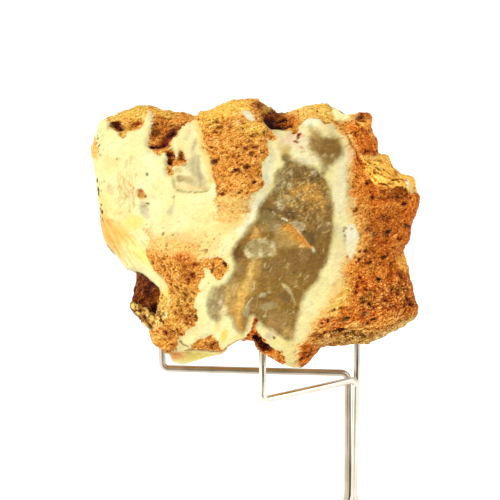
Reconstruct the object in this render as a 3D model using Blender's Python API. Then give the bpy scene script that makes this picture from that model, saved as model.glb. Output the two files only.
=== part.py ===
# A flint lump held up by a stand of three bent wires.
# Lengths below are millimetres and are turned into metres when points are made.
import math

import bmesh
import bpy
import numpy as np
from mathutils import Matrix, Vector, noise
from mathutils.bvhtree import BVHTree

MM = 0.001

# Driving dimensions
CENTRE_HEIGHT = 128.0
LEAN = math.radians(-14.0)
FRONT_BULGE = 24.0
BACK_BULGE = 37.0
FRONT_POWER = 2.7
BACK_POWER = 2.1
STONE_TRIANGLES = 8000
WIRE_DIAMETER = 2.5
FLOOR_LINE = WIRE_DIAMETER / 2 - CENTRE_HEIGHT
CONTACT_GAP = 0.3
FOOT_REACH = 78.0
FOOT_FLAT = 17.0
SPLAY_HEIGHT = -116.5

# The outline was drawn from half a metre away, from a point level with this one.
VIEW_DISTANCE = 500.0
VIEW_X = -2.1
VIEW_Z = -5.95

# Outline of the stone seen square to its face: x to the right, z up, from its centre.
OUTLINE = [
    (-57.8, 29.0), (-56.7, 32.5), (-55.5, 36.5), (-54.0, 39.5), (-49.0, 40.6),
    (-45.7, 42.5), (-41.3, 43.9), (-37.5, 44.2), (-32.9, 42.9), (-25.6, 42.5),
    (-21.4, 41.1), (-19.3, 42.4), (-11.2, 44.6), (-5.6, 46.7), (-2.1, 47.1),
    (1.1, 47.1), (4.6, 43.8), (7.0, 42.9), (8.4, 41.7), (11.9, 41.7),
    (15.1, 43.2), (21.7, 45.0), (25.2, 45.3), (28.7, 43.2), (31.5, 41.5),
    (36.4, 42.1), (39.6, 42.0), (40.8, 40.0), (40.4, 37.1), (42.8, 31.2),
    (42.3, 27.8), (45.5, 27.0), (48.8, 22.1), (50.4, 20.5), (55.0, 19.3),
    (56.9, 12.6), (55.5, 5.6), (54.5, -0.4), (53.7, -3.1), (50.9, -6.1),
    (53.1, -11.9), (55.7, -22.1), (56.4, -25.9), (54.6, -30.1), (50.4, -33.1),
    (45.7, -35.4), (39.2, -38.7), (32.9, -39.0), (24.7, -39.4), (20.3, -43.4),
    (18.9, -45.2), (16.1, -46.9), (10.9, -46.6), (5.4, -43.6), (0.7, -40.8),
    (-0.7, -37.5), (-5.5, -37.5), (-9.8, -39.9), (-12.3, -42.5), (-20.3, -44.5),
    (-25.2, -46.0), (-29.2, -44.8), (-31.3, -41.7), (-35.7, -38.5), (-37.2, -34.0),
    (-40.5, -30.3), (-43.9, -25.9), (-43.4, -21.7), (-42.1, -14.4), (-45.3, -12.5),
    (-47.6, -9.4), (-50.6, -6.7), (-53.3, -2.1), (-54.6, 4.6), (-55.7, 15.1),
    (-57.2, 25.5),
]

# Flat faces that trim the front bulge: height at a point, then slopes along x and z.
FRONT_FACES = [
    (17.5, 0.0, 0.0, -0.02, 0.08),
    (17.0, -15.0, 0.0, 0.31, 0.02),
    (16.0, -16.0, -12.0, 0.24, 0.21),
    (16.5, 33.0, 0.0, -0.42, 0.0),
    (16.0, 30.0, -31.0, -0.28, 0.75),
    (19.0, 0.0, 34.0, 0.0, -0.5),
]

# Flat faces that trim the back.
BACK_FACES = [
    (33.0, 0.0, 0.0, 0.30, 0.10),
    (35.0, 0.0, 0.0, -0.38, -0.12),
    (32.0, 0.0, 0.0, 0.05, 0.24),
    (34.0, 0.0, 0.0, 0.08, -0.42),
]

# Relief drawn on the face: outline, height (minus is sunk) and width of its edge.
CORNER_HOLLOW = [
    (-51.5, 39.0), (-47.5, 42.5), (-43.0, 45.0), (-38.5, 45.0), (-39.0, 39.5),
    (-40.5, 37.0), (-44.0, 36.0), (-47.5, 36.5), (-51.0, 37.0),
]
SECOND_HOLLOW = [
    (-36.5, 44.0), (-26.5, 44.0), (-25.0, 39.5), (-28.0, 35.5), (-30.0, 32.0),
    (-29.5, 29.0), (-33.5, 27.0), (-36.5, 29.0), (-38.0, 32.0), (-36.5, 37.5),
]
FLAKE_SCAR = [
    (-25.5, 38.0), (-23.0, 39.5), (-20.5, 38.0), (-19.5, 33.0), (-17.5, 26.0),
    (-15.5, 15.5), (-19.5, 14.0), (-25.0, 14.0), (-28.5, 16.5), (-29.5, 22.0),
    (-29.0, 29.5), (-27.5, 34.0),
]
CRUST_BOSS = [
    (-19.5, 39.5), (-14.5, 43.0), (-7.0, 46.0), (2.0, 45.5), (6.0, 42.0),
    (8.0, 36.0), (4.0, 32.0), (4.5, 26.0), (2.5, 16.5), (-2.0, 10.5),
    (-7.0, 8.5), (-12.5, 10.0), (-15.5, 17.0), (-18.0, 29.0),
]
TOP_HOLLOW = [
    (2.5, 41.5), (5.5, 44.0), (10.5, 43.0), (12.5, 38.0), (10.0, 36.5), (5.0, 37.0),
]
CORE_WINDOW = [
    (9.5, 26.0), (14.5, 24.5), (21.0, 23.5), (24.0, 19.0), (26.0, 12.0),
    (27.5, 4.0), (26.0, -6.0), (23.0, -14.5), (17.5, -21.0), (14.5, -28.5),
    (12.5, -37.5), (7.5, -35.5), (2.0, -29.0), (-1.5, -30.5), (-3.0, -35.5),
    (-7.0, -35.0), (-12.0, -30.5), (-17.0, -27.0), (-16.0, -20.0), (-9.0, -16.5),
    (-8.0, -7.5), (-3.0, 0.5), (1.0, 10.0), (6.0, 16.0),
]
CORE_FLAKE = [
    (2.0, 9.0), (5.5, 8.5), (12.0, 3.0), (20.0, -6.0), (17.0, -14.0),
    (10.0, -22.0), (-2.0, -24.0), (-6.0, -10.0), (0.0, 0.0),
]
RIGHT_KNOB = [
    (33.0, 41.0), (37.0, 43.0), (42.0, 42.0), (41.0, 37.0), (44.0, 31.0),
    (42.0, 28.0), (38.5, 27.5), (35.5, 28.5), (33.0, 32.5), (32.0, 37.5),
]
RIGHT_LEDGE = [
    (35.5, 26.5), (42.0, 27.5), (47.5, 26.0), (51.5, 21.0), (56.5, 20.0),
    (57.0, 16.0), (50.5, 15.0), (45.5, 16.0), (40.5, 15.0), (36.0, 18.0),
]
SIDE_CAVITY = [
    (-43.5, -13.0), (-37.0, -17.0), (-34.0, -19.5), (-33.5, -24.0), (-35.0, -27.0),
    (-38.5, -25.0), (-41.5, -23.5), (-46.0, -22.5),
]
LOWER_LUMP = [
    (-38.0, -34.5), (-34.5, -32.5), (-30.0, -33.0), (-27.0, -35.5), (-26.5, -39.5),
    (-30.0, -42.0), (-34.0, -41.5), (-37.5, -38.0),
]
BACK_LIP = [
    (-31.5, -42.0), (-26.5, -41.0), (-12.0, -41.0), (-9.0, -42.5), (-19.5, -47.0),
    (-25.0, -49.0), (-31.0, -46.0),
]
RED_HOLLOW = [
    (-23.0, -40.0), (-20.5, -36.5), (-16.0, -35.5), (-14.0, -38.5), (-12.5, -42.0),
    (-22.5, -42.0),
]
NOTCH_HOLE = [
    (-2.0, -36.0), (2.0, -37.5), (5.0, -40.0), (2.0, -42.5), (-1.5, -39.5),
]
LEAF_CHIP = [
    (31.0, 2.0), (33.5, 3.5), (35.5, 1.0), (36.0, -2.5), (34.5, -6.0),
    (33.0, -9.0), (31.0, -6.0), (30.8, -2.0),
]
RELIEF = [
    (CORNER_HOLLOW, -2.5, 2.5),
    (SECOND_HOLLOW, -3.5, 2.5),
    (FLAKE_SCAR, -1.3, 1.6),
    (CRUST_BOSS, 2.6, 5.0),
    (TOP_HOLLOW, -5.0, 4.0),
    (CORE_WINDOW, -0.8, 2.0),
    (CORE_FLAKE, -0.8, 1.6),
    (RIGHT_KNOB, 2.2, 3.0),
    (RIGHT_LEDGE, 2.6, 2.4),
    (SIDE_CAVITY, -8.0, 5.0),
    (LOWER_LUMP, 2.4, 4.0),
    (BACK_LIP, -5.0, 2.5),
    (RED_HOLLOW, -2.5, 2.5),
    (NOTCH_HOLE, -2.0, 2.5),
    (LEAF_CHIP, -0.8, 1.4),
]

# Faces without crust stay smoother than the rest.
SMOOTH_FACE = [
    (-57.0, 34.0), (-40.0, 34.5), (-38.0, 27.0), (-30.0, 26.0), (-28.0, 40.0),
    (-21.0, 40.0), (-15.0, 14.0), (-3.0, 8.0), (3.0, 16.0), (6.0, 30.0),
    (20.0, 38.0), (31.0, 33.0), (34.0, 20.0), (34.0, -10.0), (29.0, -20.0),
    (20.0, -34.0), (10.0, -46.0), (-12.0, -38.0), (-20.0, -34.0), (-19.0, -14.0),
    (-32.0, -4.0), (-35.0, -20.0), (-46.0, -9.0), (-54.0, 0.0),
]

# Colours of the pieces
STONE_COLOUR = (0.62, 0.36, 0.13, 1.0)
METAL_COLOUR = (0.72, 0.70, 0.66, 1.0)


def clear_scene():
    for item in list(bpy.data.objects):
        bpy.data.objects.remove(item, do_unlink=True)


def plain_material(name, colour, metallic, roughness):
    material = bpy.data.materials.new(name)
    material.use_nodes = True
    shader = material.node_tree.nodes["Principled BSDF"]
    shader.inputs["Base Color"].default_value = colour
    shader.inputs["Metallic"].default_value = metallic
    shader.inputs["Roughness"].default_value = roughness
    material.diffuse_color = colour
    return material


def step(low, high, value):
    part = np.clip((value - low) / (high - low), 0.0, 1.0)
    return part * part * (3.0 - 2.0 * part)


def soft_min(first, second, width):
    share = np.clip(0.5 + 0.5 * (second - first) / width, 0.0, 1.0)
    return second * (1.0 - share) + first * share - width * share * (1.0 - share)


def outline_radius(angles):
    """Distance from the centre to the outline in each direction."""
    points = np.array(OUTLINE)
    order = np.argsort(np.arctan2(points[:, 1], points[:, 0]))
    points = points[order]
    corners = np.arctan2(points[:, 1], points[:, 0])
    index = np.searchsorted(corners, angles) % len(points)
    first = points[index - 1]
    second = points[index]
    edge = second - first
    along = np.column_stack((np.cos(angles), np.sin(angles)))
    top = first[:, 0] * edge[:, 1] - first[:, 1] * edge[:, 0]
    bottom = along[:, 0] * edge[:, 1] - along[:, 1] * edge[:, 0]
    return top / bottom


def smooth_radius(angles):
    """The same distance averaged over a fan of directions."""
    total = np.zeros_like(angles)
    for turn in range(-12, 13, 2):
        turned = angles + math.radians(turn)
        turned = np.arctan2(np.sin(turned), np.cos(turned))
        total += outline_radius(turned)
    return total / 13.0


def edge_distance(outline, x, z):
    """Distance to a closed outline, positive inside it."""
    best = np.full(x.shape, 1e9)
    inside = np.zeros(x.shape, dtype=bool)
    count = len(outline)
    for index in range(count):
        ax, az = outline[index]
        bx, bz = outline[(index + 1) % count]
        ex = bx - ax
        ez = bz - az
        along = ((x - ax) * ex + (z - az) * ez) / (ex * ex + ez * ez)
        along = np.clip(along, 0.0, 1.0)
        gap = np.hypot(x - ax - along * ex, z - az - along * ez)
        best = np.minimum(best, gap)
        crosses = (az > z) != (bz > z)
        if ez != 0.0:
            inside ^= crosses & (x < ax + (z - az) * ex / ez)
    return np.where(inside, best, -best)


def rough(points, size, octaves, shift):
    """Fractal noise sampled at every point."""
    values = np.empty(len(points))
    for index, point in enumerate(points):
        place = Vector(point) / size + Vector((shift, 0.0, 0.0))
        values[index] = noise.fractal(place, 0.9, 2.1, octaves)
    return values


def stone_points(directions):
    """Carry directions of a sphere onto the stone."""
    side = np.hypot(directions[:, 0], directions[:, 2])
    angles = np.arctan2(directions[:, 2], directions[:, 0])
    front = directions[:, 1] < 0.0
    turn = np.degrees(angles)
    fuller = 0.7 * np.exp(-((turn + 112.0) / 48.0) ** 2)
    power = np.where(front, FRONT_POWER, BACK_POWER + fuller)
    depth = np.abs(directions[:, 1])
    scale = (depth ** power + side ** power) ** (-1.0 / power)
    share = np.minimum(side * scale, 1.0)
    sharp = outline_radius(angles)
    smooth = smooth_radius(angles)
    rise = np.clip(depth * scale, 0.0, 1.0)

    fade = step(0.02, 0.6, rise)
    behind = (sharp * (1.0 - fade) + 0.95 * smooth * fade) * share
    behind = soft_min(behind, sharp * (0.998 - 0.05 * fade), 2.0 * fade + 0.01)
    reach = np.where(front, sharp * share, behind)
    x = reach * np.cos(angles)
    z = reach * np.sin(angles)

    inner = np.clip(reach / smooth, 0.0, 1.0)
    blend = step(0.55, 0.97, share)
    mixed = inner * (1.0 - blend) + share * blend
    dome = np.maximum(1.0 - mixed ** FRONT_POWER, 0.0) ** (1.0 / FRONT_POWER)

    edge = 6.0 * np.exp(-((turn + 88.0) / 34.0) ** 2)
    edge -= 3.0 * np.exp(-((turn - 15.0) / 30.0) ** 2)
    edge += 2.6 * np.sin(3.0 * angles + 0.7) + 1.4 * np.sin(7.0 * angles)
    rim = edge * share ** 4

    height = dome * FRONT_BULGE + rim
    for level, px, pz, slope_x, slope_z in FRONT_FACES:
        plane = level + slope_x * (x - px) + slope_z * (z - pz)
        height = soft_min(height, plane, 3.0)
    rear = rise * BACK_BULGE
    for level, px, pz, slope_x, slope_z in BACK_FACES:
        plane = level + slope_x * (x - px) + slope_z * (z - pz)
        rear = soft_min(rear, plane, 4.0)
    y = np.where(front, -height, rear - rim)

    for outline, raise_by, width in RELIEF:
        distance = edge_distance(outline, x, z)
        weight = step(-0.5 * width, 0.5 * width, distance)
        y = y - raise_by * weight * np.exp(-np.maximum(y, 0.0) / 12.0)

    crust = 1.0 - 0.75 * step(-2.0, 3.0, edge_distance(SMOOTH_FACE, x, z))
    crust = np.where(front, crust, 1.0)
    points = np.column_stack((x, y, z))
    bumps = 1.3 * rough(points, 14.0, 2, 3.0) + 0.8 * rough(points, 5.0, 2, 9.0)
    knobs = 3.4 * rough(points, 24.0, 2, 20.0) - 0.8
    behind = step(0.0, 0.35, rise) * np.where(front, 0.0, 1.0)
    inward = 1.0 - 0.85 * step(0.9, 1.0, share)
    amount = bumps * crust * inward * (1.0 - behind)
    amount += (bumps + knobs - 1.2 * step(0.9, 1.0, share)) * behind
    points = points + directions * amount[:, None]

    # What lies further from the viewer is wider than it was drawn.
    wider = 1.0 + points[:, 1] / VIEW_DISTANCE
    points[:, 0] = (points[:, 0] - VIEW_X) * wider + VIEW_X
    points[:, 2] = (points[:, 2] - VIEW_Z) * wider + VIEW_Z
    return points


def build_stone(name, material):
    mesh = bpy.data.meshes.new(name)
    shape = bmesh.new()
    bmesh.ops.create_icosphere(shape, subdivisions=7, radius=1.0)
    directions = np.array([vertex.co[:] for vertex in shape.verts])
    directions /= np.linalg.norm(directions, axis=1)[:, None]
    points = stone_points(directions)
    for vertex, point in zip(shape.verts, points):
        vertex.co = Vector(point) * MM
    bmesh.ops.recalc_face_normals(shape, faces=shape.faces)
    count = len(shape.faces)
    shape.to_mesh(mesh)
    shape.free()
    mesh.materials.append(material)
    stone = bpy.data.objects.new(name, mesh)
    bpy.context.scene.collection.objects.link(stone)
    fewer = stone.modifiers.new("fewer", "DECIMATE")
    fewer.ratio = STONE_TRIANGLES / count
    return stone


def rounded_path(corners, radii, steps=7):
    """Polyline through the corners with an arc at each inner one."""
    path = [Vector(corners[0])]
    for index in range(1, len(corners) - 1):
        corner = Vector(corners[index])
        back = (Vector(corners[index - 1]) - corner).normalized()
        ahead = (Vector(corners[index + 1]) - corner).normalized()
        half = back.angle(ahead) / 2.0
        radius = radii[index - 1]
        trim = radius / math.tan(half)
        middle = corner + (back + ahead).normalized() * (radius / math.sin(half))
        start = corner + back * trim - middle
        turn = math.pi - 2.0 * half
        axis = start.cross(corner + ahead * trim - middle).normalized()
        for piece in range(steps + 1):
            spin = Matrix.Rotation(turn * piece / steps, 4, axis)
            path.append(middle + spin @ start)
    path.append(Vector(corners[-1]))
    return path


def wire(name, path, material):
    curve = bpy.data.curves.new(name, "CURVE")
    curve.dimensions = "3D"
    curve.bevel_depth = WIRE_DIAMETER / 2 * MM
    curve.bevel_resolution = 3
    curve.use_fill_caps = True
    spline = curve.splines.new("POLY")
    spline.points.add(len(path) - 1)
    for point, place in zip(spline.points, path):
        point.co = (*(place * MM), 1.0)
    curve.materials.append(material)
    item = bpy.data.objects.new(name, curve)
    bpy.context.scene.collection.objects.link(item)
    return item


def foot(x, y, heading):
    """Corners of a foot, from its tip to the foot of the post."""
    across = math.cos(math.radians(heading))
    along = math.sin(math.radians(heading))
    flat = FOOT_REACH - FOOT_FLAT
    return [
        (x + FOOT_REACH * across, y + FOOT_REACH * along, FLOOR_LINE),
        (x + flat * across, y + flat * along, FLOOR_LINE),
        (x, y, SPLAY_HEIGHT),
    ]


def prong_top(tree, x, y):
    """Height at which a wire of this width meets the stone's underside."""
    lowest = 1e9
    reach = WIRE_DIAMETER / 2
    places = [(0.0, 0.0)]
    for index in range(8):
        angle = math.radians(45.0 * index)
        places.append((reach * math.cos(angle), reach * math.sin(angle)))
    for dx, dy in places:
        start = Vector(((x + dx) * MM, (y + dy) * MM, -0.2))
        place, normal, index, distance = tree.ray_cast(start, Vector((0.0, 0.0, 1.0)))
        if place is not None:
            lowest = min(lowest, place.z / MM)
    return lowest - CONTACT_GAP


def main():
    clear_scene()
    stone_material = plain_material("flint_stone", STONE_COLOUR, 0.0, 0.6)
    left_metal = plain_material("left_metal", METAL_COLOUR, 1.0, 0.25)
    front_metal = plain_material("front_metal", METAL_COLOUR, 1.0, 0.25)
    right_metal = plain_material("right_metal", METAL_COLOUR, 1.0, 0.25)

    stone = build_stone("flint", stone_material)
    stone.rotation_euler = (LEAN, 0.0, 0.0)
    bpy.context.view_layer.update()
    fewer = stone.evaluated_get(bpy.context.evaluated_depsgraph_get())
    corners = [stone.matrix_world @ vertex.co for vertex in fewer.data.vertices]
    faces = [polygon.vertices[:] for polygon in fewer.data.polygons]
    tree = BVHTree.FromPolygons(corners, faces)

    # Left wire: foot to the left, post, arm to the left, prong up behind the stone
    left = foot(34.6, 9.7, 175.0)
    left += [(33.7, 9.7, -54.9), (-34.0, 10.0, -53.2)]
    left += [(-34.4, 10.0, prong_top(tree, -34.4, 10.0))]
    # Front wire: foot to the front right, post, arm forward, prong at the lower notch
    front = foot(36.6, 7.6, 300.0)
    front += [(36.6, 7.6, -56.6), (2.4, -13.4, -57.0)]
    front += [(2.2, -13.4, prong_top(tree, 2.2, -13.4))]
    # Right wire: foot to the right, straight up to the stone
    right = foot(36.85, 11.4, 20.0)
    right += [(37.1, 11.4, prong_top(tree, 37.1, 11.4))]

    pieces = [stone]
    pieces.append(wire("left_wire", rounded_path(left, [15, 18, 2.6, 2.4]), left_metal))
    pieces.append(wire("front_wire", rounded_path(front, [15, 18, 2.8, 2.4]), front_metal))
    pieces.append(wire("right_wire", rounded_path(right, [15, 18]), right_metal))

    # One empty carries everything and puts the origin under the middle of the box.
    low = Vector((1e9, 1e9, 1e9))
    high = Vector((-1e9, -1e9, -1e9))
    bpy.context.view_layer.update()
    graph = bpy.context.evaluated_depsgraph_get()
    for piece in pieces:
        shown = piece.evaluated_get(graph)
        mesh = shown.to_mesh()
        for vertex in mesh.vertices:
            place = piece.matrix_world @ vertex.co
            low = Vector(map(min, low, place))
            high = Vector(map(max, high, place))
        shown.to_mesh_clear()
    carrier = bpy.data.objects.new("carrier", None)
    bpy.context.scene.collection.objects.link(carrier)
    carrier.location = (-(low.x + high.x) / 2, -(low.y + high.y) / 2, -low.z)
    for piece in pieces:
        piece.parent = carrier


main()
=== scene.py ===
import math

import bpy
import numpy as np
from mathutils import Matrix, Vector, noise


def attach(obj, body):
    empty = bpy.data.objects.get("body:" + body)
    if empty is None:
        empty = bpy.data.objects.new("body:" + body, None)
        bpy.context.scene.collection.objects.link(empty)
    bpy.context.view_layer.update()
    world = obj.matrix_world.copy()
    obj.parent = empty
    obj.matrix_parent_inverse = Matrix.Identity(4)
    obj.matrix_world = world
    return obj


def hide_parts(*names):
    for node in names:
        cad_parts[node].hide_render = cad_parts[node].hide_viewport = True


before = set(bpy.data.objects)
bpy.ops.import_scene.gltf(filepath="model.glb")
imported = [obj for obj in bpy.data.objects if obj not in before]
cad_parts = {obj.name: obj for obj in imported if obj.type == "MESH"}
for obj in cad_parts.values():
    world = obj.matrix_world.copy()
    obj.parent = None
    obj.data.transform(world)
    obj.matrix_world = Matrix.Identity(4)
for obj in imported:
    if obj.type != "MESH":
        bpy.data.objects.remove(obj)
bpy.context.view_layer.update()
scene = bpy.context.scene

# Lengths are millimetres from the stone's centre, turned into metres when meshes are made.
MM = 0.001
CENTRE = Vector((-26.5151, 10.6614, 127.9388))
LEAN = math.radians(-14.0)

# The camera stands half a metre from the stone's centre, square to its face.
PICTURE = 500.0
SCALE = 0.35
DISTANCE = 500.0
FOCAL_PX = DISTANCE / SCALE
AIM_X = -2.1
AIM_Z = -5.95

# The stone's centre in the picture
MIDDLE_U = 256.0
MIDDLE_V = 233.0

# The stone: its bulges, how boxy they are, its grid and how far that crowds towards the face
FRONT_BULGE = 24.0
BACK_BULGE = 37.0
FRONT_POWER = 2.7
BACK_POWER = 2.1
GRID = 127
CROWDING = 0.45

# Slants in degrees along which the crust's grain is drawn out, and how much it is squeezed
RISING = 22.0
FALLING = -38.0
SQUEEZE = 0.5

# Studio: brightness of the sky, two lamps in watts, the floor's own glow and the dark cards
SKY = 0.85
KEY = 7.0
FILL = 2.4
FLOOR_GLOW = 0.4
CARD_SIDES = (-0.12, 0.02)
CARD_FAR = -0.3
CARD_NEAR = -0.07
CARD_TOP = 0.42
CARD_RIGHT = 0.22
CARD_LOW = 0.11

# A picture colour is the haze plus this much light on the surface's own colour.
LIGHT_LEVEL = 1.42
HAZE = 0.014

# Stand: the feet lie on the floor line, and the wires part at the splay height.
WIRE_DIAMETER = 2.5
WIRE_SIDES = 24
ARC_STEPS = 16
FLOOR_LINE = WIRE_DIAMETER / 2 - CENTRE.z
FOOT_REACH = 78.0
FOOT_FLAT = 17.0
SPLAY_HEIGHT = -116.5
SEAM_TOP = -58.0

# The wires' domed ends: how far each ring stands out, in millimetres, and its share of the radius
DOME = ((0.175, 0.93), (0.35, 0.7), (0.45, 0.4))

# For each metal its dull and bright colour and its least roughness
# All three wires are one metal, in lit and shaded copies: painted light and shade, darkest on the left
# wire.
METAL = {
    "left_metal": ((0.44, 0.38, 0.29), (0.58, 0.51, 0.40), 0.26),
    "front_metal": ((0.68, 0.64, 0.52), (0.80, 0.77, 0.66), 0.18),
    "right_metal": ((0.60, 0.55, 0.45), (0.74, 0.69, 0.58), 0.12),
}
# Near black for the left wire's seam beside the next wire: painted shade between the wires.
SEAM_SHADE = (0.03, 0.022, 0.012, 1.0)


def numbers(text):
    return [float(word) for word in text.split()]


def pairs(values):
    """Points from a list of numbers: across, down, across, down and so on."""
    return list(zip(values[::2], values[1::2]))


def path(text):
    return pairs(numbers(text))


def table(text):
    return [numbers(line) for line in text.strip().splitlines()]


def groups(text):
    """Rows of numbers under headings, written "heading: row, row; heading: row"."""
    for group in text.split(";"):
        heading, rows = group.split(":")
        for row in rows.split(","):
            yield heading.split(), numbers(row)


def dabs(text):
    """Rows of u, v, half width, half height and turn under a colour or palette and a share.

    A row may leave out its turn, and its half height too where that is the half width.
    """
    rows = []
    for heading, (u, v, half_u, *more) in groups(text):
        *colour, share = heading
        colour = colour[0] if len(colour) == 1 else [float(part) for part in colour]
        half_v = more[0] if more else half_u
        turn = more[1] if len(more) > 1 else 0.0
        rows.append((u, v, half_u, half_v, turn, colour, float(share)))
    return rows


def strokes(text):
    """Rows of a width and then the line's points, under a colour and a share."""
    rows = []
    for heading, (width, *ends) in groups(text):
        *colour, share = [float(part) for part in heading]
        rows.append((pairs(ends), width, colour, share))
    return rows


# Outlines are in picture units: 500 across and down, 0.35 mm each at the stone's centre.
OUTLINE = path("""
91 150 94 140 97.5 130 98 125 101 120.5 106 118 116 117 121 114.5 125.5 111.5 132 109.5
138 107.5 149 106.8 155 108.5 162 110.5 178 112 183 111.5 187 113.5 195 115.5 201 112
210 110 224 105.5 233 102 240 99.7 250 98.3 259 98.5 262.5 102 269 108 276 110.5 280 113.8
290 113.8 299 109.6 305 107.4 318 104.4 328 103.7 332 106.6 338 109.5 346 114.5 355 114
360 112.7 369 113 372.4 117 371.5 127 376.5 138 378.3 144 376.8 153.5 381 156.3 386 155.8
390 160 395.5 170 400 174.3 407 176.5 413 178 415.5 190.5 418.5 197 418 202 414.5 217
412.2 224 411.8 234 409.4 241.8 404.5 245.4 401.3 250.5 404 258.6 407.6 267 411.8 282.6
415 296 417 307 415.4 314 412 319 400 327.5 386.6 334 378 338 368 343.6 357 343 350 344.5
335 345 326.6 345.6 321 348.5 314 357 310 362 302 367 293 367.8 287 366 281 362.4
271.4 357.6 261 352 258 349.5 257 345 254 340 247 338.8 240.2 340 235.5 342.3 228 347
225.5 351.3 221 354.5 206.4 357.5 198 360 190 362.7 184 364.5 178 364 172.5 361 169.8 355
166.5 352.2 162 350.2 157.4 347 153.9 343 151 336 149.6 330 145.7 325.4 140.4 319.5
132.3 311.4 130.5 307 130.9 302 131.9 295 133.5 288 135.8 274 132.5 271.5 126.5 268.8
122.4 264.7 120 260 116 256 111.3 252 107 246 103.7 239 101.4 228.5 100 220 98 200 97 190
94.3 170 92.7 160
""")

# Flat faces that trim the bulge: height at a point, then slopes along x and z
FRONT_FACES = table("""
17.5 0 0 -0.02 0.08
17 -15 0 0.31 0.02
16 -16 -12 0.24 0.21
16.5 33 0 -0.42 0
16 30 -31 -0.28 0.75
19 0 34 0 -0.5
""")
BACK_FACES = table("""
33 0 0 0.3 0.1
35 0 0 -0.38 -0.12
32 0 0 0.05 0.24
34 0 0 0.08 -0.42
""")

CORNER = path("""
104 116 107 119 111 122 110 127 115 130 120 131 120.5 135 123 138 126 136.5 128 132 134 131
140 129 142 125 144 120 146 115 148 110 147 98 120 100 100 110
""")
CORNER_PIT = path("110 121.5 114 120 118 121.5 122 123.5 125 127 124 130 119 130 114 127.5 111 125")
SECOND = path("""
146 98 147.5 109 150.5 114 151 119 152.5 125 151 131 149.5 137 148 142 149 146 151 150 154 154
158 156.5 162 156.5 165 154 166 159 167 165 166 170 168 174.5 172 176.5 173.5 174 172 169
174 166.5 178 165.5 184 164 187 160 185 155 183 152 180 151 178.5 155 177 158 175 156
174 152 172 149.5 170 147 171 143 173 140.5 176 137 178 132 181 127.5 185 124 190 122
194 120 197 115 197 100
""")
SECOND_SHADE = path("""
187 122 182 123.5 177 127 173 128.5 169 130 165 133 163 137 161 141 158 145 155 146
150 146.5 154 150 160 149.5 165 149 169 146 170 141.5 174 139.5 176.5 136 178.5 131.5 182 127.5
""")
SECOND_SPOT = path("165 153 168 151.5 172 152.5 175 155 175 159 172 162 171 165 168 164 166 159")
SCAR = path("""
190 122 194 121 198 126 200 133 200 141 201 150 204 156 206 160 208 167 210 176 210 184
211 189 208 190.5 200 192 192 192.5 183 192.5 177 190.5 174 187 173 180 174 172 176 168
184 165 187 160 184 154 176 155 171 149 172 143 176 137 179 131 184 126
""")
BOSS = path("""
196 106 195 117 197 123 199 130 200 137 200 147 204 152 207 158 210 163 210.5 170 212 178
216 183 217.5 189 217 195 214 198 214.5 202 218 205 222 207 232 207 242 204 248 200 251 195
255 191 260 188.5 264 186 264 182 262 177 261 170 262 163 265 157.5 269 155 270 151 267.5 146
267 140 268 136 275 140 278 139 272 131 268 127 267 119 266 112 268 94 240 88 215 96
""")
BOSS_FOOT = path("219 206 230 203 242 203 250 199 247 208 240 215 232 221 224 219 219 213")
TOP_HOLLOW = path("""
262 112 266 114 270 110 275 107 279 111 280 117 285 119 289 121 291.5 124 289 127.5 284 129
276 129 270 128 266 123
""")
TOP_BAND = path("""
262 110 266 117 270 127 278 130 285 131 291 129 293 133 297 132 300 127 303 121 306 118.5
312 118 320 119.5 325 124 331 124 334 120 332.5 112 332 98 300 98 280 104 262 92
""")
RIGHT_CRUST = path("""
334 119 337 123 341 128.5 347 133.5 350 140 353 147 357 152 357 158 354 164 352 172 352 182
352 192 355 200 358 207 358 214 357 222 359 232 359 242 356 250 352 258 348 263 346 272
345 282 343 292 339 300 332 308 325 314 319 321 314 328 311 336 306 343 301 348 299 356
300 372 340 390 430 360 440 300 440 150 400 100 350 96 349 116 341 115
""")
CREST = path("331 104 338 107 346 112 351 113.5 349.5 117.5 343 120.5 337 119 334.5 114")
KNOB = path("""
350 116 361 108 378 110 374 127 384 144 379 153 366 154 357 151 350 140 347 126
""")
LEDGE = path("""
360 154.5 366 154 373 156.5 378 154 388 152 396 162 402 170 408 174 416 175 418 182 415 192
409 190.5 402 188.5 394 189.5 388 191 380 190.5 374 187 369 180 365 171 361.5 164
""")
LEDGE_SHADE = path("""
370 198 375 195 381 193 388 191 396 189 403 190 409 193 414 197 409 200 400 200.5 390 200.5
380 201 373 201
""")
UNDERSIDE = path("""
312 336 320 331 330 331.5 345 328.5 352 327.5 364 330 380 330 395 324 408 316 418 312
416 330 380 352 330 354 300 375 300 352
""")
LEAF = path("""
345 231 346 227 349 224 353 224 355.5 228 358 233 359.5 238 358 243 356 249 353.5 254
351 258.5 349.5 259 348 256 345.5 253 344.8 247 344.6 239
""")
CAVITY = path("""
136 273 141 275 148 280 154 285 159 290 161 296 160 303 158 309 155 313 151 311 147 306
142 305 137 303 133 301 126 296 130 285 133 274
""")
CRUMB = path("""
127 302 137 303 143 304 148 308 152 313 157 312 163 314 165 320 161 325 153 328 148 327
141 322 133 316 126 308
""")
LEFT_BAND = path("""
145 250 151 253 158 256 166 257 176 258 186 259 194 260 199 261 203 264 205 270 205 276
202 280 199 283 199 290 197 300 194 308 197 313 198 317 196 321 194 325 190 327 185 329
184 335 181 339 178 334 170 330 161 328 163 322 167 316 168 308 169 300 169 292 167 285
163 279 157 272 151 265 148 258
""")
BAND_TOP = path("""
146 228 150 235 156 240 164 240 174 240 186 243 198 248 207 256 203 266 190 270 170 268
156 262 149 254 151 246
""")
INNER_BAND = path("160 289 163 293 167 300 167.5 308 165 316 160 317 158 309 161 300")
LUMP = path("""
201 262 205 258.5 208 257.5 211 260 213 257.5 217 256.5 221 258 225 261 229 266 228.5 271
224 276 219 279.5 214 277.5 211 273 209 267 205 268 202 266
""")
LOWER_LUMP = path("""
150 331 154 328 160 326 167 326 173 328 176 331 178.5 337 178.5 344 177 349 172 352 166 354
158 352 153 348 148 339
""")
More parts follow.
